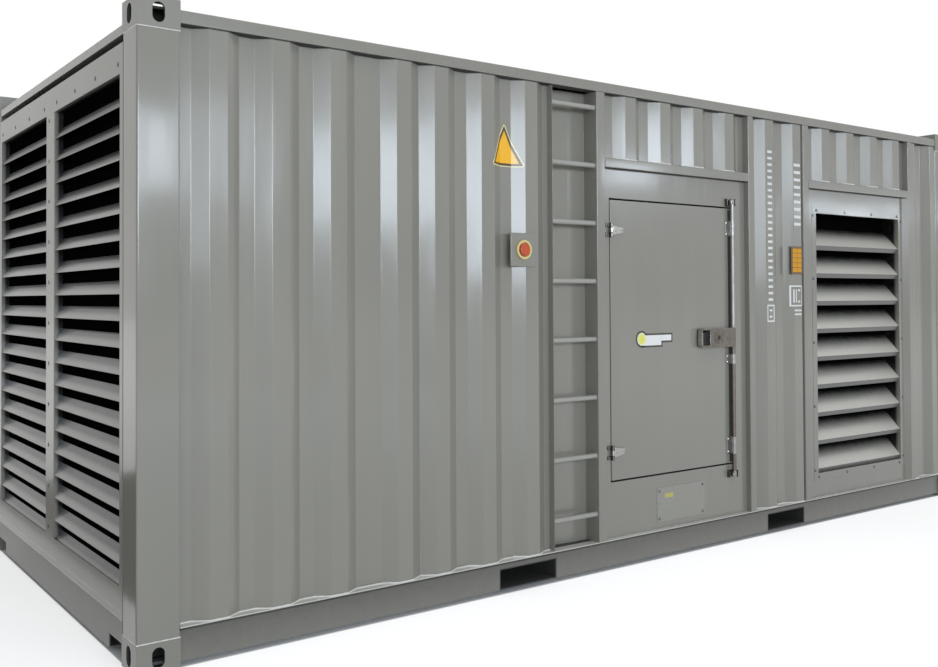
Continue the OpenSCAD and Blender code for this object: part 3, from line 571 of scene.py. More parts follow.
def makeWallSeams(seam):
    # beads along the foot and head of each wall: pale weld beads at the foot, coloured as a painted
    # highlight, and dark beads at the head, a painted shadow under the top rails
    footHighlights, headShadows = bmesh.new(), bmesh.new()
    for k, node in enumerate(frontWalls + backWalls):
        side = -1 if node in frontWalls else 1
        low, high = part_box(node)
        for bm, level, radius in ((footHighlights, low.z + 1 * mm, seam["foot"]),
                                  (headShadows, high.z - 1 * mm, seam["head"])):
            line = [point + Vector((0, side * 0.5 * mm, 0)) for point in skinLine(node, level, side)]
            addBead(bm, line, radius, k, seam["ripple"], seam["step"])
    makePiece("wall_foot_highlight_beads", footHighlights, [beadHighlight], smooth=60)
    makePiece("wall_head_shadow_beads", headShadows, [darkPaint], smooth=60)


def makeShadowAndHighlightLines(joint):
    # dark line under the flange of the bottom rail, a painted shadow, and pale lines at the folds along the
    # foot of the end panels, painted highlights
    shadowLines, folds = bmesh.new(), bmesh.new()
    low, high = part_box("bottom_side_rails")
    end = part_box("end_louvre_frames")[1]
    for side in (-1, 1):
        y = side * (high.y - joint["lip"] * mm)
        z = high.z - joint["flange"] * mm
        addBead(shadowLines, [(low.x, y, z), (high.x, y, z)], joint["joint"], 4, 0.1, 40.0)
        x = side * (end.x - joint["inset"] * mm)
        for level in joint["folds"]:
            addBead(folds, [(x, -end.y, level * mm), (x, end.y, level * mm)], joint["fold"], 5, 0.1, 60.0)
    makePiece("rail_lip_shadow", shadowLines, [darkPaint], smooth=60)
    makePiece("end_fold_highlights", folds, [endLipHighlight], smooth=60)


def makeFrameSeams(seam):
    # weld beads beside the corner posts, and pale beads round their ends where the castings meet them,
    # coloured as a painted highlight
    highlightRings, uprights = bmesh.new(), bmesh.new()
    postLow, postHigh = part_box("corner_posts")
    wallLow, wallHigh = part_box("front_wall_left")
    for sx, sy in ((-1, -1), (-1, 1), (1, -1), (1, 1)):
        x, y = sx * wallLow.x, sy * (-wallLow.y - 1 * mm)
        addBead(uprights, [(x, y, wallLow.z), (x, y, wallHigh.z)], seam["post"], 7, seam["ripple"],
                seam["step"])
        faceX = -sx * (postHigh.x - seam["sink"] * mm)
        faceY = sy * (postHigh.y - seam["sink"] * mm)
        for z in (postLow.z, postHigh.z):
            ring = [(x, faceY, z), (faceX, faceY, z), (faceX, faceY - sy * seam["return"] * mm, z)]
            addBead(highlightRings, ring, seam["casting"], 9, seam["ripple"], seam["step"])
    makePiece("frame_seam_highlights", highlightRings, [beadHighlight], smooth=60)
    makePiece("post_seams", uprights, [weldPaint], smooth=60)


makeWallSeams({"foot": 5.0, "head": 3.0, "step": 14.0, "ripple": 0.3})
makeShadowAndHighlightLines({"lip": 5.5, "flange": 9.5, "joint": 4.6, "inset": 2.4, "folds": (172.0, 200.0), "fold": 5.0})
makeFrameSeams({"post": 1.6, "casting": 4.6, "sink": 1.8, "return": 155.0, "step": 14.0, "ripple": 0.3})


def makeLadder(ladder):
    softCopy("ladder_recess", ladder["bend"], [greyPaint], "ladder_recess_folded", smooth=30,
             turn=3, along=2, concave=True, shortest=500)
    low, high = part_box("ladder_rungs")
    rungY = (low.y + high.y) / 2
    radius = (high.y - low.y) / 2 / mm
    centres = [level[0] + radius * mm for level in levelsOf("ladder_rungs", 4 * radius, 0)]
    bm = bmesh.new()
    for z in centres:
        addBarrel(bm, (low.x, rungY, z), (high.x, rungY, z), radius, ladder["rim"], 28)
    makePiece("rungs", bm, [rungPaint], replaces=["ladder_rungs"], smooth=40)
    bm = bmesh.new()
    for z in centres:
        for x, side in ((low.x + ladder["weldIn"] * mm, 1), (high.x - ladder["weldIn"] * mm, -1)):
            ring = [(x, rungY + math.sin(a) * radius * mm, z + math.cos(a) * radius * mm)
                    for a in spread(0, math.tau, ladder["around"] + 1)[:-1]]
            addBead(bm, ring, ladder["bead"], round(z * 1000) + side)
    makePiece("rung_welds", bm, [weldPaint], smooth=60)


makeLadder({"bend": 5.0, "rim": 1.0, "bead": 3.2, "weldIn": 2.0, "around": 20})
print("walls and ladder ready")


def makeDoor(door):
    low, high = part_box("door_leaf")
    bm = cadMesh("door_leaf")
    front = [e for e in sharpEdges(bm, shortest=30)
             if not all(v.co.y > high.y - 0.1 * mm for v in e.verts)]
    roundEdges(bm, front, door["bend"], 4)
    lip = door["lip"] * mm
    # faces inside the leaf's rim, behind its front, take the near-black painted shade of the interior
    for face in bm.faces:
        middle = face.calc_center_median()
        inside = low.x + lip < middle.x < high.x - lip and low.z + lip < middle.z < high.z - lip
        if inside and middle.y > low.y + lip / 2:
            face.material_index = 1
    makePiece("door_leaf_pressed", bm, [greyPaint, insideShadePaint], "door", ["door_leaf"])
    bm = cadMesh("door_surround")
    roundEdges(bm, sharpEdges(bm, shortest=100), door["surroundEdge"], 2)
    paintInside(bm, (0, 1, 0))
    makePiece("door_surround_plate", bm, [greyPaint, insideShadePaint], replaces=["door_surround"])
    # rubber seal round the opening, behind the surround
    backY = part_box("door_surround")[1].y
    gap = Vector((door["gap"], 0, door["gap"])) * mm
    sealLow, sealHigh = low - gap, high + gap
    sealLow.y = backY
    sealHigh.y = backY + door["sealDepth"] * mm
    bm = bmesh.new()
    addFrame(bm, sealLow, sealHigh, door["sealWidth"] * mm, door["sealEdge"], 2)
    makePiece("door_seal", bm, [sealRubber])


makeDoor({"bend": 4.0, "lip": 2.0, "surroundEdge": 1.2, "gap": 8.0, "sealDepth": 16.0, "sealWidth": 14.0,
          "sealEdge": 3.0})


def makeHinges(hinge):
    low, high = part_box("hinge_brackets")
    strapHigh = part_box("hinge_straps")[1]
    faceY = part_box("door_leaf")[0].y
    axisX = low.x + (hinge["foot"] + hinge["halfGap"]) * mm
    axisY = low.y + hinge["barrel"] * mm
    half = hinge["length"] / 2 * mm
    knuckle = hinge["length"] * hinge["knuckle"] * mm
    middle = half - knuckle - 1 * mm
    fixed, moving, screws = bmesh.new(), bmesh.new(), bmesh.new()
    for z in (low.z + half, high.z - half):
        for side in (-1, 1):
            z0 = z + side * (half - knuckle / 2)
            addBarrel(fixed, (axisX, axisY, z0 - knuckle / 2), (axisX, axisY, z0 + knuckle / 2),
                      hinge["barrel"], hinge["rim"])
            addBlock(fixed, (low.x, faceY - hinge["plate"] * mm, z0 - knuckle / 2 + 1 * mm),
                     (low.x + hinge["foot"] * mm, faceY, z0 + knuckle / 2 - 1 * mm), 2.5)
            addDome(fixed, (axisX, axisY, z + side * half), (0, 0, side), *hinge["pinHead"])
            addScrew(screws, (low.x + hinge["screwIn"] * mm, faceY - hinge["plate"] * mm, z0), (0, -1, 0),
                     hinge["screw"])
        addBarrel(moving, (axisX, axisY, z - middle), (axisX, axisY, z + middle), hinge["barrel"],
                  hinge["rim"])
        addBlock(moving, (axisX, faceY - hinge["leafPlate"] * mm, z - middle),
                 (axisX + hinge["leafReach"] * mm, faceY, z + middle), 2.0)
        # two tapering wings, each a wedge that thins towards its tip
        root = axisX + hinge["wingRoot"] * mm
        tip = strapHigh.x
        for rootLow, rootHigh, tipLow, tipHigh, thick in hinge["wings"]:
            wing = bmesh.ops.create_cube(moving, size=1)["verts"]
            for v in wing:
                u = v.co.x + 0.5
                bottom = rootLow + (tipLow - rootLow) * u
                top = rootHigh + (tipHigh - rootHigh) * u
                share = bottom if v.co.z < 0 else top
                v.co = Vector((root + (tip - root) * u,
                               faceY - (thick * mm if v.co.y < 0 else 0.0) * (1 - hinge["taper"] * u),
                               z + share * hinge["length"] * mm))
            roundEdges(moving, edgesOf(wing), hinge["wingEdge"], 5)
    makePiece("hinge_fixed_halves", fixed, [lockSteel], replaces=["hinge_brackets"])
    makePiece("hinge_screws", screws, [screwSteel])
    makePiece("hinge_leaf_halves", moving, [wingSteel], "door", ["hinge_straps"])


makeHinges({"foot": 30.0, "halfGap": 4.0, "barrel": 10.0, "rim": 2.0, "length": 76.0, "knuckle": 0.3,
            "plate": 9.0, "screw": 5.0, "screwIn": 13.0, "pinHead": (7.0, 1.2), "leafPlate": 10.0,
            "leafReach": 22.0, "wingRoot": 16.0, "taper": 0.35, "wingEdge": 5.0,
            "wings": ((-0.12, 0.36, 0.02, 0.22, 14.0), (-0.36, 0.0, -0.18, 0.02, 11.0))})


def makeLock(lock):
    rodLow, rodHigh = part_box("lock_rod")
    boxLow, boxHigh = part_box("handle_box")
    leafLow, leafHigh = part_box("door_leaf")
    faceY = leafLow.y
    radius = lock["rod"] / 2
    hub = radius + lock["hubWall"]
    rodX = boxHigh.x - hub * mm
    rodY = faceY - lock["standOff"] * mm
    halfHub = lock["endHub"] / 2 * mm
    ends = (rodLow.z + halfHub, rodHigh.z - halfHub)
    # the rod is duller below the handle
    bm = bmesh.new()
    splitZ = boxLow.z + lock["split"] * mm
    addBarrel(bm, (rodX, rodY, ends[0]), (rodX, rodY, splitZ), radius, rim=1.0, segments=40)
    for face in bm.faces:
        face.material_index = 1
    addBarrel(bm, (rodX, rodY, splitZ), (rodX, rodY, ends[1]), radius, rim=1.0, segments=40)
    makePiece("rod_tube", bm, [rodSteel, workedSteel], "lock_rod", ["lock_rod"])
    bm = bmesh.new()
    for z in ends:
        addBarrel(bm, (rodX, rodY, z - halfHub), (rodX, rodY, z + halfHub), radius + 1, rim=4.0, segments=36)
        addBlock(bm, (rodX - lock["cam"] * mm, rodY - hub * mm, z - lock["camHalf"] * mm),
                 (rodX, rodY + 4 * mm, z + lock["camHalf"] * mm), 5.0)
    makePiece("rod_cams", bm, [plateSteel], "lock_rod")
    # bearing blocks with a riveted flange and a ring at each end
    bm, rivets = bmesh.new(), bmesh.new()
    guides = levelsOf("rod_guides", lock["guideStep"])
    ring = lock["ringHalf"] * mm
    for a, b in guides:
        addBarrel(bm, (rodX, rodY, a), (rodX, rodY, b), hub - 1, segments=36)
        for z in (a + ring, (a + b) / 2, b - ring):
            addBarrel(bm, (rodX, rodY, z - ring), (rodX, rodY, z + ring), hub, rim=2.4, segments=36)
        addBlock(bm, (rodX - hub * mm, rodY, a + 1 * mm), (rodX + hub * mm, faceY, b - 1 * mm), 1.5)
        flangeY = faceY - lock["flangeThick"] * mm
        addBlock(bm, (rodX + lock["flange"][0] * mm, flangeY, a),
                 (rodX + lock["flange"][1] * mm, faceY, b), 2.0)
        for z in (a + lock["rivetIn"] * mm, b - lock["rivetIn"] * mm):
            for x in lock["rivets"]:
                addDome(rivets, (rodX + x * mm, flangeY, z), (0, -1, 0), *lock["rivetHead"])
    makePiece("rod_guide_blocks", bm, [plateSteel], "door", ["rod_guides"])
    makePiece("rod_guide_rivets", rivets, [rimSteel], "door")
    # near-black strip on the leaf beside the rod, between the guides, a painted shade of the rod
    bm = bmesh.new()
    stops = [leafLow.z + lock["stripEnd"] * mm, *[z for pair in guides for z in pair],
             leafHigh.z - lock["stripEnd"] * mm]
    for a, b in zip(stops[::2], stops[1::2]):
        addBlock(bm, (rodX + lock["strip"][0] * mm, faceY - 1.2 * mm, a + 1 * mm),
                 (rodX + lock["strip"][1] * mm, faceY, b - 1 * mm), 0.5, 2)
    makePiece("rod_shadow_strip", bm, [shadeBlack], "door")
    softCopy("rod_keepers", lock["keeperEdge"], [lockSteel], "keepers", 2, slot="steel", turn=60)
    softCopy("handle_base", lock["baseEdge"], [darkPaint], "handle_back_plate", body="door",
             slot="dark_paint", turn=60)


def makeHandle(handle):
    # box handle with a bright rim, a finger hollow whose floor is a near-black painted shade, and a key boss
    low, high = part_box("handle_box")
    middle = (low.z + high.z) / 2
    bm = cadMesh("handle_box")
    roundEdges(bm, [e for e in sharpEdges(bm, turn=60, along=1)
                    if all(v.co.x < low.x + 5 * mm for v in e.verts)], handle["corner"], 6)
    rim = [e for e in sharpEdges(bm, turn=60) if all(v.co.y < low.y + 0.1 * mm for v in e.verts)]
    roundEdges(bm, rim, handle["rim"], 4)
    for face in bm.faces:
        place = face.calc_center_median()
        # the floor of the finger hollow is near black, a painted shade
        if place.y > low.y + handle["hollow"] * mm and face.normal.y < -0.9:
            face.material_index = 2
        elif face.normal.y > -0.97 and place.x < high.x - handle["plainEnd"] * mm:
            face.material_index = 1
    makePiece("handle_body", bm, [lockSteel, rimSteel, shadeBlack], "lock_rod", ["handle_box"])
    bossX = low.x + handle["boss"] * mm
    bm = bmesh.new()
    addBarrel(bm, (bossX, low.y + 3 * mm, middle), (bossX, low.y - handle["bossRise"] * mm, middle),
              handle["bossRadius"], 2.0, 48)
    addBarrel(bm, (bossX, low.y, middle), (bossX, low.y - handle["coreRise"] * mm, middle),
              handle["bossRadius"] * 0.5, 1.5, 32)
    makePiece("key_boss", bm, [workedSteel], "lock_rod")
    # black disc standing for the keyhole, a painted shade
    bm = bmesh.new()
    addBarrel(bm, (bossX, low.y - 3 * mm, middle), (bossX, low.y - handle["keyRise"] * mm, middle),
              handle["keyRadius"], 0.4, 24)
    makePiece("key_hole", bm, [shadeBlack], "lock_rod")
    bm = bmesh.new()
    addBlock(bm, (bossX + handle["bossRadius"] * mm, low.y - 1.2 * mm, middle - handle["cover"] * mm),
             (high.x - handle["coverEnd"] * mm, low.y + 1 * mm, middle + handle["cover"] * mm), 1.0, 2)
    makePiece("handle_cover", bm, [lockSteel], "lock_rod")


makeLock({"rod": 24.0, "standOff": 22.0, "split": 9.0, "hubWall": 3.0, "endHub": 34.0, "cam": 26.0,
          "camHalf": 12.0, "guideStep": 200.0, "ringHalf": 4.0, "flange": (-39.0, 31.0), "flangeThick": 4.0,
          "rivets": (-29.0, 23.0), "rivetIn": 13.0, "rivetHead": (7.0, 4.5), "strip": (-14.0, 18.0),
          "stripEnd": 6.0, "keeperEdge": 1.4, "baseEdge": 1.6})
makeHandle({"corner": 24.0, "rim": 8.0, "hollow": 8.0, "plainEnd": 30.0, "boss": 146.0, "bossRadius": 34.0,
            "bossRise": 2.5, "coreRise": 4.0, "keyRadius": 13.0, "keyRise": 4.4, "cover": 40.0,
            "coverEnd": 34.0})
print("door ready")


louvres = {
    "side_louvre_frames": {"name": "side_louvre_panels", "radius": 0.9, "materials": [sidePanelPaint],
                           "segments": 2, "turn": 60, "shortest": 80},
    # the side blades' lips and undersides take the near-black painted shade
    "side_louvre_blades": {"name": "side_louvre_vanes", "radius": 0.9,
                           "materials": [sideBladeLitPaint, sideLipShade], "segments": 2, "turn": 25, "along": 0,
                           "under": 0.12},
    "end_louvre_frames": {"name": "end_louvre_panels", "radius": 0.9, "materials": [endPanelPaint],
                          "segments": 2, "turn": 60, "shortest": 80},
    "end_louvre_mullions": {"name": "end_louvre_posts", "radius": 4.0, "materials": [endPanelPaint],
                            "turn": 60, "along": 2},
    # the end blades' lips take the lighter painted highlight
    "end_louvre_blades": {"name": "end_louvre_vanes", "radius": 0.9, "materials": [endBladePaint, endLipHighlight],
                          "segments": 2, "turn": 25, "along": 1, "under": 0.12},
}
for node, finish in louvres.items():
    softCopy(node, **finish)


def makeShadeSheets(shadeSheet):
    # near-black sheets close behind the blades, on both sides and both ends, a painted shade for the dark
    # inside
    bm = bmesh.new()
    low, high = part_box("side_louvre_blades")
    lap = shadeSheet["lap"] * mm
    thick = shadeSheet["thick"] * mm
    for side in (-1, 1):
        y = side * (high.y - shadeSheet["sideDepth"] * mm)
        addBlock(bm, (low.x + lap, y, low.z), (high.x - lap, y - side * thick, high.z + shadeSheet["over"] * mm))
    low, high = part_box("end_louvre_blades")
    for end in (-1, 1):
        x = end * (high.x - shadeSheet["endDepth"] * mm)
        addBlock(bm, (x, low.y, low.z), (x - end * thick, high.y, high.z + shadeSheet["endOver"] * mm))
    makePiece("louvre_shade_sheets", bm, [shadeSheetPaint])


def makeFlange(flange):
    # flat flange and its screws round each side louvre opening
    low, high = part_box("side_louvre_frames")
    x0, x1 = low.x + flange["left"] * mm, high.x - flange["right"] * mm
    z0, z1 = low.z + flange["under"] * mm, high.z - flange["over"] * mm
    wide = flange["width"] * mm
    thick = flange["thick"] * mm
    plates, screws = bmesh.new(), bmesh.new()
    for side in (-1, 1):
        face = side * (high.y + thick)
        addFrame(plates, (x0, side * high.y, z0), (x1, face, z1), wide, 0.5, 1)
        for x in spread(x0 + flange["rowIn"] * mm, x1 - flange["rowOut"] * mm, flange["across"]):
            addScrew(screws, (x, face, z1 + wide * 0.4), (0, side, 0), flange["screw"])
            addScrew(screws, (x, face, z0 - wide * 0.5), (0, side, 0), flange["screw"])
        for z in spread(z0 + flange["columnIn"] * mm, z1 - flange["columnOut"] * mm, flange["up"]):
            addScrew(screws, (x0 - wide * 0.75, face, z), (0, side, 0), flange["screw"])
            addScrew(screws, (x1 + wide * 0.6, face, z), (0, side, 0), flange["screw"])
        # folded return from the flange out to the wall post
        fold = bmesh.ops.create_cube(plates, size=1)["verts"]
        outer = side * (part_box("wall_posts")[1].y - flange["return"] * mm)
        for v in fold:
            u = v.co.x + 0.5
            deep = 0.0 if v.co.y * side > 0 else flange["fold"] * mm
            v.co = Vector((x1 + wide + (high.x - x1 - wide) * u, face + (outer - face) * u - side * deep,
                           low.z if v.co.z < 0 else high.z))
    makePiece("side_louvre_flanges", plates, [sidePanelPaint])
    makePiece("side_louvre_screws", screws, [screwSteel])


def makeEndScrews(row):
    # screws along the header and up the mullion, each on its own face
    bm = bmesh.new()
    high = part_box("end_louvre_frames")[1]
    postLow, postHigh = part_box("end_louvre_mullions")
    for end in (-1, 1):
        for side in (-1, 1):
            for y in spread(postHigh.y + row["inset"] * mm, high.y - row["edge"] * mm, row["count"]):
                addScrew(bm, (end * high.x, side * y, high.z - row["under"] * mm), (end, 0, 0), row["screw"],
                         row["rise"])
        face = end * postHigh.x
        for z in spread(postLow.z + row["foot"] * mm, postHigh.z - row["head"] * mm, row["mullion"]):
            addScrew(bm, (face, row["offset"] * mm, z), (end, 0, 0), row["screw"], row["rise"])
    makePiece("end_louvre_screws", bm, [screwSteel])


makeShadeSheets({"thick": 2.0, "lap": 0.5, "sideDepth": 110.0, "over": 150.0, "endDepth": 40.0, "endOver": 70.0})
makeFlange({"left": 120.0, "right": 75.0, "under": 147.0, "over": 151.0, "width": 46.0, "thick": 1.5,
            "across": 4, "rowIn": 5.0, "rowOut": 20.0, "up": 5, "columnIn": 20.0, "columnOut": 15.0,
            "screw": 7.0, "return": 3.0, "fold": 3.0})
makeEndScrews({"inset": 40.0, "edge": 60.0, "count": 4, "under": 80.0, "foot": 40.0, "head": 30.0,
               "mullion": 11, "offset": 22.0, "screw": 8.0, "rise": 2.6})
print("louvres ready")


def makeStop(stop):
    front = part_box("stop_box")[0].y
    bm = cadMesh("stop_box")
    roundEdges(bm, sharpEdges(bm, along=1, shortest=3), stop["corner"], 4)
    rim = [e for e in sharpEdges(bm, turn=60) if all(abs(v.co.y - front) < 0.1 * mm for v in e.verts)]
    roundEdges(bm, rim, stop["rim"], 3)
    makePiece("stop_box_pressed", bm, [greyPaint], replaces=["stop_box"])
    softCopy("stop_collar", stop["ring"], [ringCream], "stop_ring", 2, slot="yellow_plate", turn=60)
    bm = cadMesh("stop_button")
    roundEdges(bm, sharpEdges(bm, turn=30), stop["button"])
    # painted shade: the skirt below the dome is coloured dark red
    for face in bm.faces:
        face.material_index = 1 if face.normal.y > -0.4 else 0
    makePiece("stop_mushroom", bm, [redPlastic, redShade], "stop_button", ["stop_button"])


makeStop({"corner": 6.0, "rim": 3.0, "ring": 1.2, "button": 1.5})


def skinOf(node):
    # finished surface of a wall, for what is laid over its folds
    wall = bmesh.new()
    wall.from_mesh(walls[node].data)
    skin = BVHTree.FromBMesh(wall)
    wall.free()
    return skin


def trianglePaint(corners, bands):
    # bands of colour by the distance from the triangle's nearest side
    material, tree, shader = newMaterial("trianglePaint")
    place = objectPlace(tree)
    nearest = None
    for a, b in zip(corners, corners[1:] + corners[:1]):
        across = Vector((-(b[1] - a[1]), 0, b[0] - a[0])).normalized()
        away = mathNode(tree, "SUBTRACT", dotNode(tree, place, across), across.dot(Vector((a[0], 0, a[1]))))
        nearest = away if nearest is None else mathNode(tree, "MINIMUM", nearest, away)
    colour = bands[0][1]
    for limit, inner in bands[1:]:
        edge = addNode(tree, "MapRange", {"Value": nearest, "From Min": (limit - 1.0) * mm,
                                          "From Max": (limit + 1.0) * mm})
        colour = mixColour(tree, edge.outputs["Result"], colour, inner)
    useGroup(tree, shader, paintFilm, {"Colour": colour, "Clouds": 0.05, "Wipes": 0.02, "Dust": 0.0,
                                       "Rough": 0.25, "Waves": 0.2, "Peel": 0.5})
    shader.inputs["Coat Weight"].default_value = 0.15
    return material


def makeTriangle(triangle):
    # thin sheet laid over the folds of the wall
    low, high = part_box("triangle_plate")
    middle = (low.x + high.x) / 2
    corners = [(low.x, low.z), (high.x, low.z), (middle, high.z)]
    skin = skinOf("front_wall_left")
    bm = bmesh.new()
    shape = (Matrix.Translation((middle, low.y - 50 * mm, (low.z + high.z) / 2))
             @ Matrix.Rotation(math.pi / 2, 4, "X")
             @ Matrix.Diagonal((high.x - low.x, high.z - low.z, 1, 1)))
    bmesh.ops.create_grid(bm, x_segments=triangle["grid"], y_segments=12, size=0.5, matrix=shape)
    centre = Vector((middle, 0, low.z + (high.z - low.z) / 3))
    for a, b in zip(corners, corners[1:] + corners[:1]):
        across = Vector((b[1] - a[1], 0, -(b[0] - a[0]))).normalized()
        bmesh.ops.bisect_plane(bm, geom=bm.verts[:] + bm.edges[:] + bm.faces[:], plane_co=(a[0], 0, a[1]),
                               plane_no=across, clear_outer=True)
        tip = Vector((a[0], 0, a[1]))
        out = (tip - centre).normalized()
        bmesh.ops.bisect_plane(bm, geom=bm.verts[:] + bm.edges[:] + bm.faces[:],
                               plane_co=tip - out * triangle["blunt"] * mm, plane_no=out, clear_outer=True)
    for vert in bm.verts:
        hit = skin.ray_cast(vert.co, Vector((0, 1, 0)))[0]
        vert.co.y = hit.y - triangle["lift"] * mm
    bm.normal_update()
    bmesh.ops.solidify(bm, geom=bm.faces[:], thickness=triangle["thick"] * mm)
    finish = trianglePaint(corners, triangle["bands"])
    makePiece("triangle_plate_laid", bm, [finish], replaces=["triangle_plate"],
              smooth=60)


makeTriangle({"grid": 90, "lift": 0.9, "thick": 0.6, "blunt": 9.0,
              "bands": ((0, (0.72, 0.66, 0.36, 1)), (5.0, (0.055, 0.026, 0.006, 1)),
                        (17.0, (0.80, 0.41, 0.004, 1)))})


def makeMarker(marker):
    # amber reflector: dark surround with two columns of pillow cells
    low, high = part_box("amber_marker")
    bm = bmesh.new()
    addBlock(bm, (low.x, low.y + 1.5 * mm, low.z), (high.x, high.y, high.z), 2.0, 3)
    makePiece("marker_surround", bm, [amberEdge], replaces=["amber_marker"])
    bm = bmesh.new()
    border = marker["border"] * mm
    joint = marker["joint"] * mm
    columns, rows = marker["cells"]
    wide = (high.x - low.x - 2 * border) / columns
    tall = (high.z - low.z - 2 * border) / rows
    for i in range(columns):
        for k in range(rows):
            x, z = low.x + border + i * wide, low.z + border + k * tall
            addBlock(bm, (x + joint, low.y, z + joint), (x + wide - joint, low.y + 4 * mm, z + tall - joint),
                     marker["pillow"])
    makePiece("marker_cells", bm, [amberPlate])


def makeTag(tag):
    # key-shaped tag: black backing, pale disc with a yellow middle, white stepped bar
    low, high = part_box("handle_tag")
    radius = (high.z - low.z) / 2 / mm
    centre = Vector((low.x + radius * mm, high.y, (low.z + high.z) / 2))
    step = low.x + tag["step"] * mm
    barLow = low.z + tag["barLow"] * mm
    barTop = low.z + tag["barTop"] * mm
    barMid = low.z + tag["barMid"] * mm
    layers = ((radius, 0.0, 0.9, blackPrint, "tag_backing"),
              (radius - tag["line"], tag["line"], 1.3, tagWhite, "tag_bar"),
              (radius - tag["line"] - 1, None, 1.5, tagPale, "tag_disc"),
              (tag["core"], None, 1.7, tagYellow, "tag_core"))
    for size, inset, thick, finish, name in layers:
        bm = bmesh.new()
        front = Vector((0, -thick * mm, 0))
        if inset is None or inset == 0.0:
            addBarrel(bm, centre, centre + front, size, rim=0.3, segments=56)
        if inset is not None:
            line = inset * mm
            addBlock(bm, (centre.x, high.y - thick * mm, barLow + line),
                     (step - line, high.y, barTop - line), 0.3, 1)
            addBlock(bm, (step - line - 2 * mm, high.y - thick * mm, barMid + line),
                     (high.x - line, high.y, barTop - line), 0.3, 1)
        makePiece(name, bm, [finish], "door", ["handle_tag"] if name == "tag_backing" else ())


def makeInfoPlate(plate):
    # bare plate under the door, with four screws and a small faded patch
    low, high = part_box("plate_under_door")
    softCopy("plate_under_door", 0.5, [platePaint], segments=2)
    bm = bmesh.new()
    inset = plate["inset"] * mm
    for x in (low.x + inset, high.x - inset):
        for z in (low.z + inset, high.z - inset):
            addScrew(bm, (x, low.y, z), (0, -1, 0), plate["screw"])
    makePiece("plate_screws", bm, [screwSteel])
    bm = bmesh.new()
    x0, z0, x1, z1 = (value * mm for value in plate["patch"])
    addBlock(bm, (low.x + x0, low.y - 0.4 * mm, low.z + z0), (low.x + x1, low.y, low.z + z1), 0.1, 1)
    makePiece("plate_patch", bm, [stickerYellow])


def makeStencils(stencil):
    # plain painted bars laid on the folds: two upright columns, each with a framed block at its foot
    skin = skinOf("front_wall_middle")
    bm = bmesh.new()
    for x, z0, z1, wide, tall, pitch in stencil["columns"]:
        for k in range(int((z1 - z0) / pitch)):
            z = z0 + k * pitch
            addLaid(bm, skin, ((x - wide / 2) * mm, z * mm), ((x + wide / 2) * mm, (z + tall) * mm),
                    stencil["lift"], 9)
    bars = list(stencil["bars"])
    for x0, z0, x1, z1, upright, flat in stencil["frames"]:
        bars += [(x0, z0, x1, z0 + flat), (x0, z1 - flat, x1, z1), (x0, z0 + flat, x0 + upright, z1 - flat),
                 (x1 - upright, z0 + flat, x1, z1 - flat)]
    for x0, z0, x1, z1 in bars:
        addLaid(bm, skin, (x0 * mm, z0 * mm), (x1 * mm, z1 * mm), stencil["lift"], 13)
    bm.normal_update()
    makePiece("stencil_bars", bm, [stencilPaint], smooth=60)


makeStencils({"lift": 0.5,
              "columns": ((911.0, 1402.0, 2340.0, 44.0, 15.0, 39.0),
                          (1188.0, 1868.0, 2310.0, 66.0, 18.0, 46.0)),
              "frames": ((1121.0, 1366.0, 1233.0, 1496.0, 10.0, 9.0),
                         (876.0, 1274.0, 946.0, 1378.0, 8.0, 9.0)),
              "bars": ((1143.0, 1390.0, 1153.0, 1472.0), (1165.0, 1390.0, 1175.0, 1472.0),
                       (1187.0, 1390.0, 1211.0, 1402.0), (1187.0, 1460.0, 1211.0, 1472.0),
                       (1152.0, 1336.0, 1222.0, 1346.0), (1152.0, 1312.0, 1222.0, 1322.0),
                       (898.0, 1300.0, 924.0, 1312.0), (898.0, 1338.0, 924.0, 1350.0))})
makeMarker({"border": 12.0, "cells": (2, 5), "joint": 1.5, "pillow": 1.9})
makeTag({"step": 214.0, "barLow": 0.0, "barTop": 76.0, "barMid": 24.0, "line": 10.0, "core": 25.0})
makeInfoPlate({"inset": 18.0, "screw": 6.0, "patch": (62, 128, 132, 152)})
print("fittings ready")


def makeStage(name, size, place, colour):
    # flat sheet that isn't part of the object
    bm = bmesh.new()
    shape = Matrix.Translation(place) @ Matrix.Diagonal((*size, 1, 1))
    bmesh.ops.create_grid(bm, x_segments=1, y_segments=1, size=0.5, matrix=shape)
    mesh = bpy.data.meshes.new(name)
    bm.to_mesh(mesh)
    bm.free()
    sheet = addObject(name, mesh)
    material, tree, shader = newMaterial(name)
    shader.inputs["Base Color"].default_value = colour
    shader.inputs["Specular IOR Level"].default_value = 0.0
    mesh.materials.append(material)
    return sheet, tree, shader


def seenBy(tree, *rays):
    path = tree.nodes.new("ShaderNodeLightPath")
    seen = path.outputs[rays[0]]
    for ray in rays[1:]:
        seen = mathNode(tree, "MAXIMUM", seen, path.outputs[ray])
    return seen


def makeFloor(floor):
    tree, shader = makeStage("studioFloor", floor["size"], (0, 0, 0), floor["colour"])[1:]
    shader.inputs["Roughness"].default_value = 0.9
    place = objectPlace(tree)
    # no lift on the ground that the enclosure stands on
    split = addNode(tree, "SeparateXYZ", {0: place}).outputs
    past = [mathNode(tree, "GREATER_THAN", mathNode(tree, "ABSOLUTE", split[axis]), half)
            for axis, half in zip("XY", floor["foot"])]
    outside = mathNode(tree, "MAXIMUM", *past)
    away = addNode(tree, "VectorMath", {0: place}, operation="LENGTH").outputs["Value"]
    level = addNode(tree, "MapRange", {"Value": away, **floor["lift"]}).outputs["Result"]
    seen = seenBy(tree, "Is Camera Ray", "Is Glossy Ray")
    glow = addNode(tree, "Emission", {"Strength": times(tree, times(tree, seen, outside), level)})
    both = addNode(tree, "AddShader", {0: shader.outputs[0], 1: glow.outputs[0]})
    tree.links.new(both.outputs[0], tree.nodes["Material Output"].inputs["Surface"])


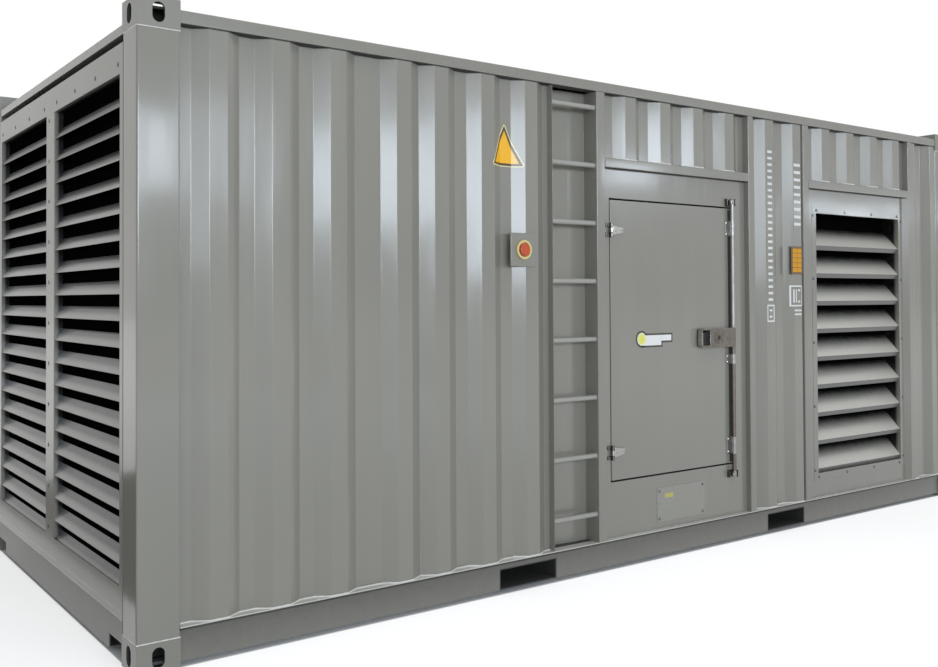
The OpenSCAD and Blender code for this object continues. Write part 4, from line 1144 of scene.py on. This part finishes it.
def makeCard(card):
    # dark sheet on the ground, out of view, that only reflections in the near end wall meet
    sheet = makeStage("studioCard", card["size"], card["place"], card["colour"])[0]
    sheet.visible_camera = False
    sheet.visible_diffuse = False
    sheet.visible_shadow = False


def makeWorld(sky):
    # plain light for the object, white for the camera and for reflections
    world = bpy.data.worlds.new("studio")
    bpy.context.scene.world = world
    world.use_nodes = True
    tree = world.node_tree
    plain = tree.nodes["Background"]
    plain.inputs["Color"].default_value = sky["colour"]
    plain.inputs["Strength"].default_value = sky["level"]
    white = addNode(tree, "Background", {"Color": (1, 1, 1, 1), "Strength": 1.0})
    seen = seenBy(tree, "Is Camera Ray", "Is Glossy Ray", "Is Transmission Ray")
    mix = addNode(tree, "MixShader", {"Fac": seen, 1: plain.outputs[0], 2: white.outputs[0]})
    tree.links.new(mix.outputs[0], tree.nodes["World Output"].inputs["Surface"])


def addSoftBox(name, centre, target, size, radiance, colour=(1, 1, 1)):
    # rectangular lamp of a given brightness, facing its target
    lamp = bpy.data.lights.new(name, "AREA")
    lamp.shape = "RECTANGLE"
    lamp.size, lamp.size_y = size
    lamp.energy = radiance * math.pi * size[0] * size[1]
    lamp.color = colour
    holder = addObject(name, lamp)
    holder.location = centre
    holder.rotation_euler = (Vector(target) - Vector(centre)).to_track_quat("-Z", "Y").to_euler()


def makeWindows(row):
    # lamps in the form of tall window panes, opposite the door side
    for k, (x0, x1, z0, z1, radiance) in enumerate(row["panes"]):
        centre = ((x0 + x1) / 2, row["y"], (z0 + z1) / 2)
        addSoftBox(f"window{k}", centre, (centre[0], 0, centre[2]), (x1 - x0, z1 - z0), radiance,
                   row["colour"])


def makeCamera(view):
    lens = bpy.data.cameras.new("viewer")
    lens.sensor_width = 36.0
    lens.lens = view["lens"]
    lens.shift_x, lens.shift_y = view["shift"]
    lens.clip_end = 200.0
    holder = addObject("viewer", lens)
    holder.location = view["place"]
    yaw, pitch, roll = view["turn"]
    holder.rotation_euler = (math.pi / 2 + pitch, roll, -yaw)
    bpy.context.scene.camera = holder


makeFloor({"size": (120.0, 120.0), "colour": (0.86, 0.86, 0.86, 1), "foot": (3.02, 1.21),
           "lift": {"From Min": 4.0, "From Max": 14.0, "To Min": 0.5, "To Max": 1.0}})
makeWorld({"colour": (0.99, 0.99, 0.98, 1), "level": 0.45})
makeWindows({"y": -12.0, "colour": (0.79, 0.89, 1.0),
             "panes": ((-11.6, -9.9, 2.0, 4.8, 5.0), (-9.0, -5.7, 2.7, 4.3, 14.0),
                       (-5.6, -3.4, 1.7, 4.5, 13.0), (-2.6, -1.0, 2.4, 4.4, 17.0), (-0.5, 0.5, 1.7, 4.5, 7.0),
                       (0.65, 1.45, 3.1, 4.3, 10.0), (1.6, 3.0, 3.0, 4.6, 5.5),
                       (10.8, 12.3, 3.85, 4.35, 22.0), (17.2, 19.0, 3.45, 3.85, 8.0),
                       (19.5, 20.7, 3.40, 3.75, 13.0), (21.3, 22.6, 3.50, 3.90, 8.0))})
makeCard({"place": (-5.6, 0.8, 0.02), "size": (4.6, 4.4), "colour": (0.10, 0.10, 0.10, 1)})
addSoftBox("skylight", (0.0, -4.0, 9.0), (0.0, 0.0, 1.0), (9.0, 4.0), 1.0)
addSoftBox("backFill", (2.0, 11.0, 5.0), (0.0, 0.0, 1.2), (8.0, 3.0), 4.0)
makeCamera({"lens": 37.473, "shift": (0.07801, -0.05465), "place": (-4.2928, -4.8244, 1.4239),
            "turn": (0.59721, 0.01673, 0.00379)})
bpy.context.scene.view_settings.view_transform = "Standard"
print("studio ready")
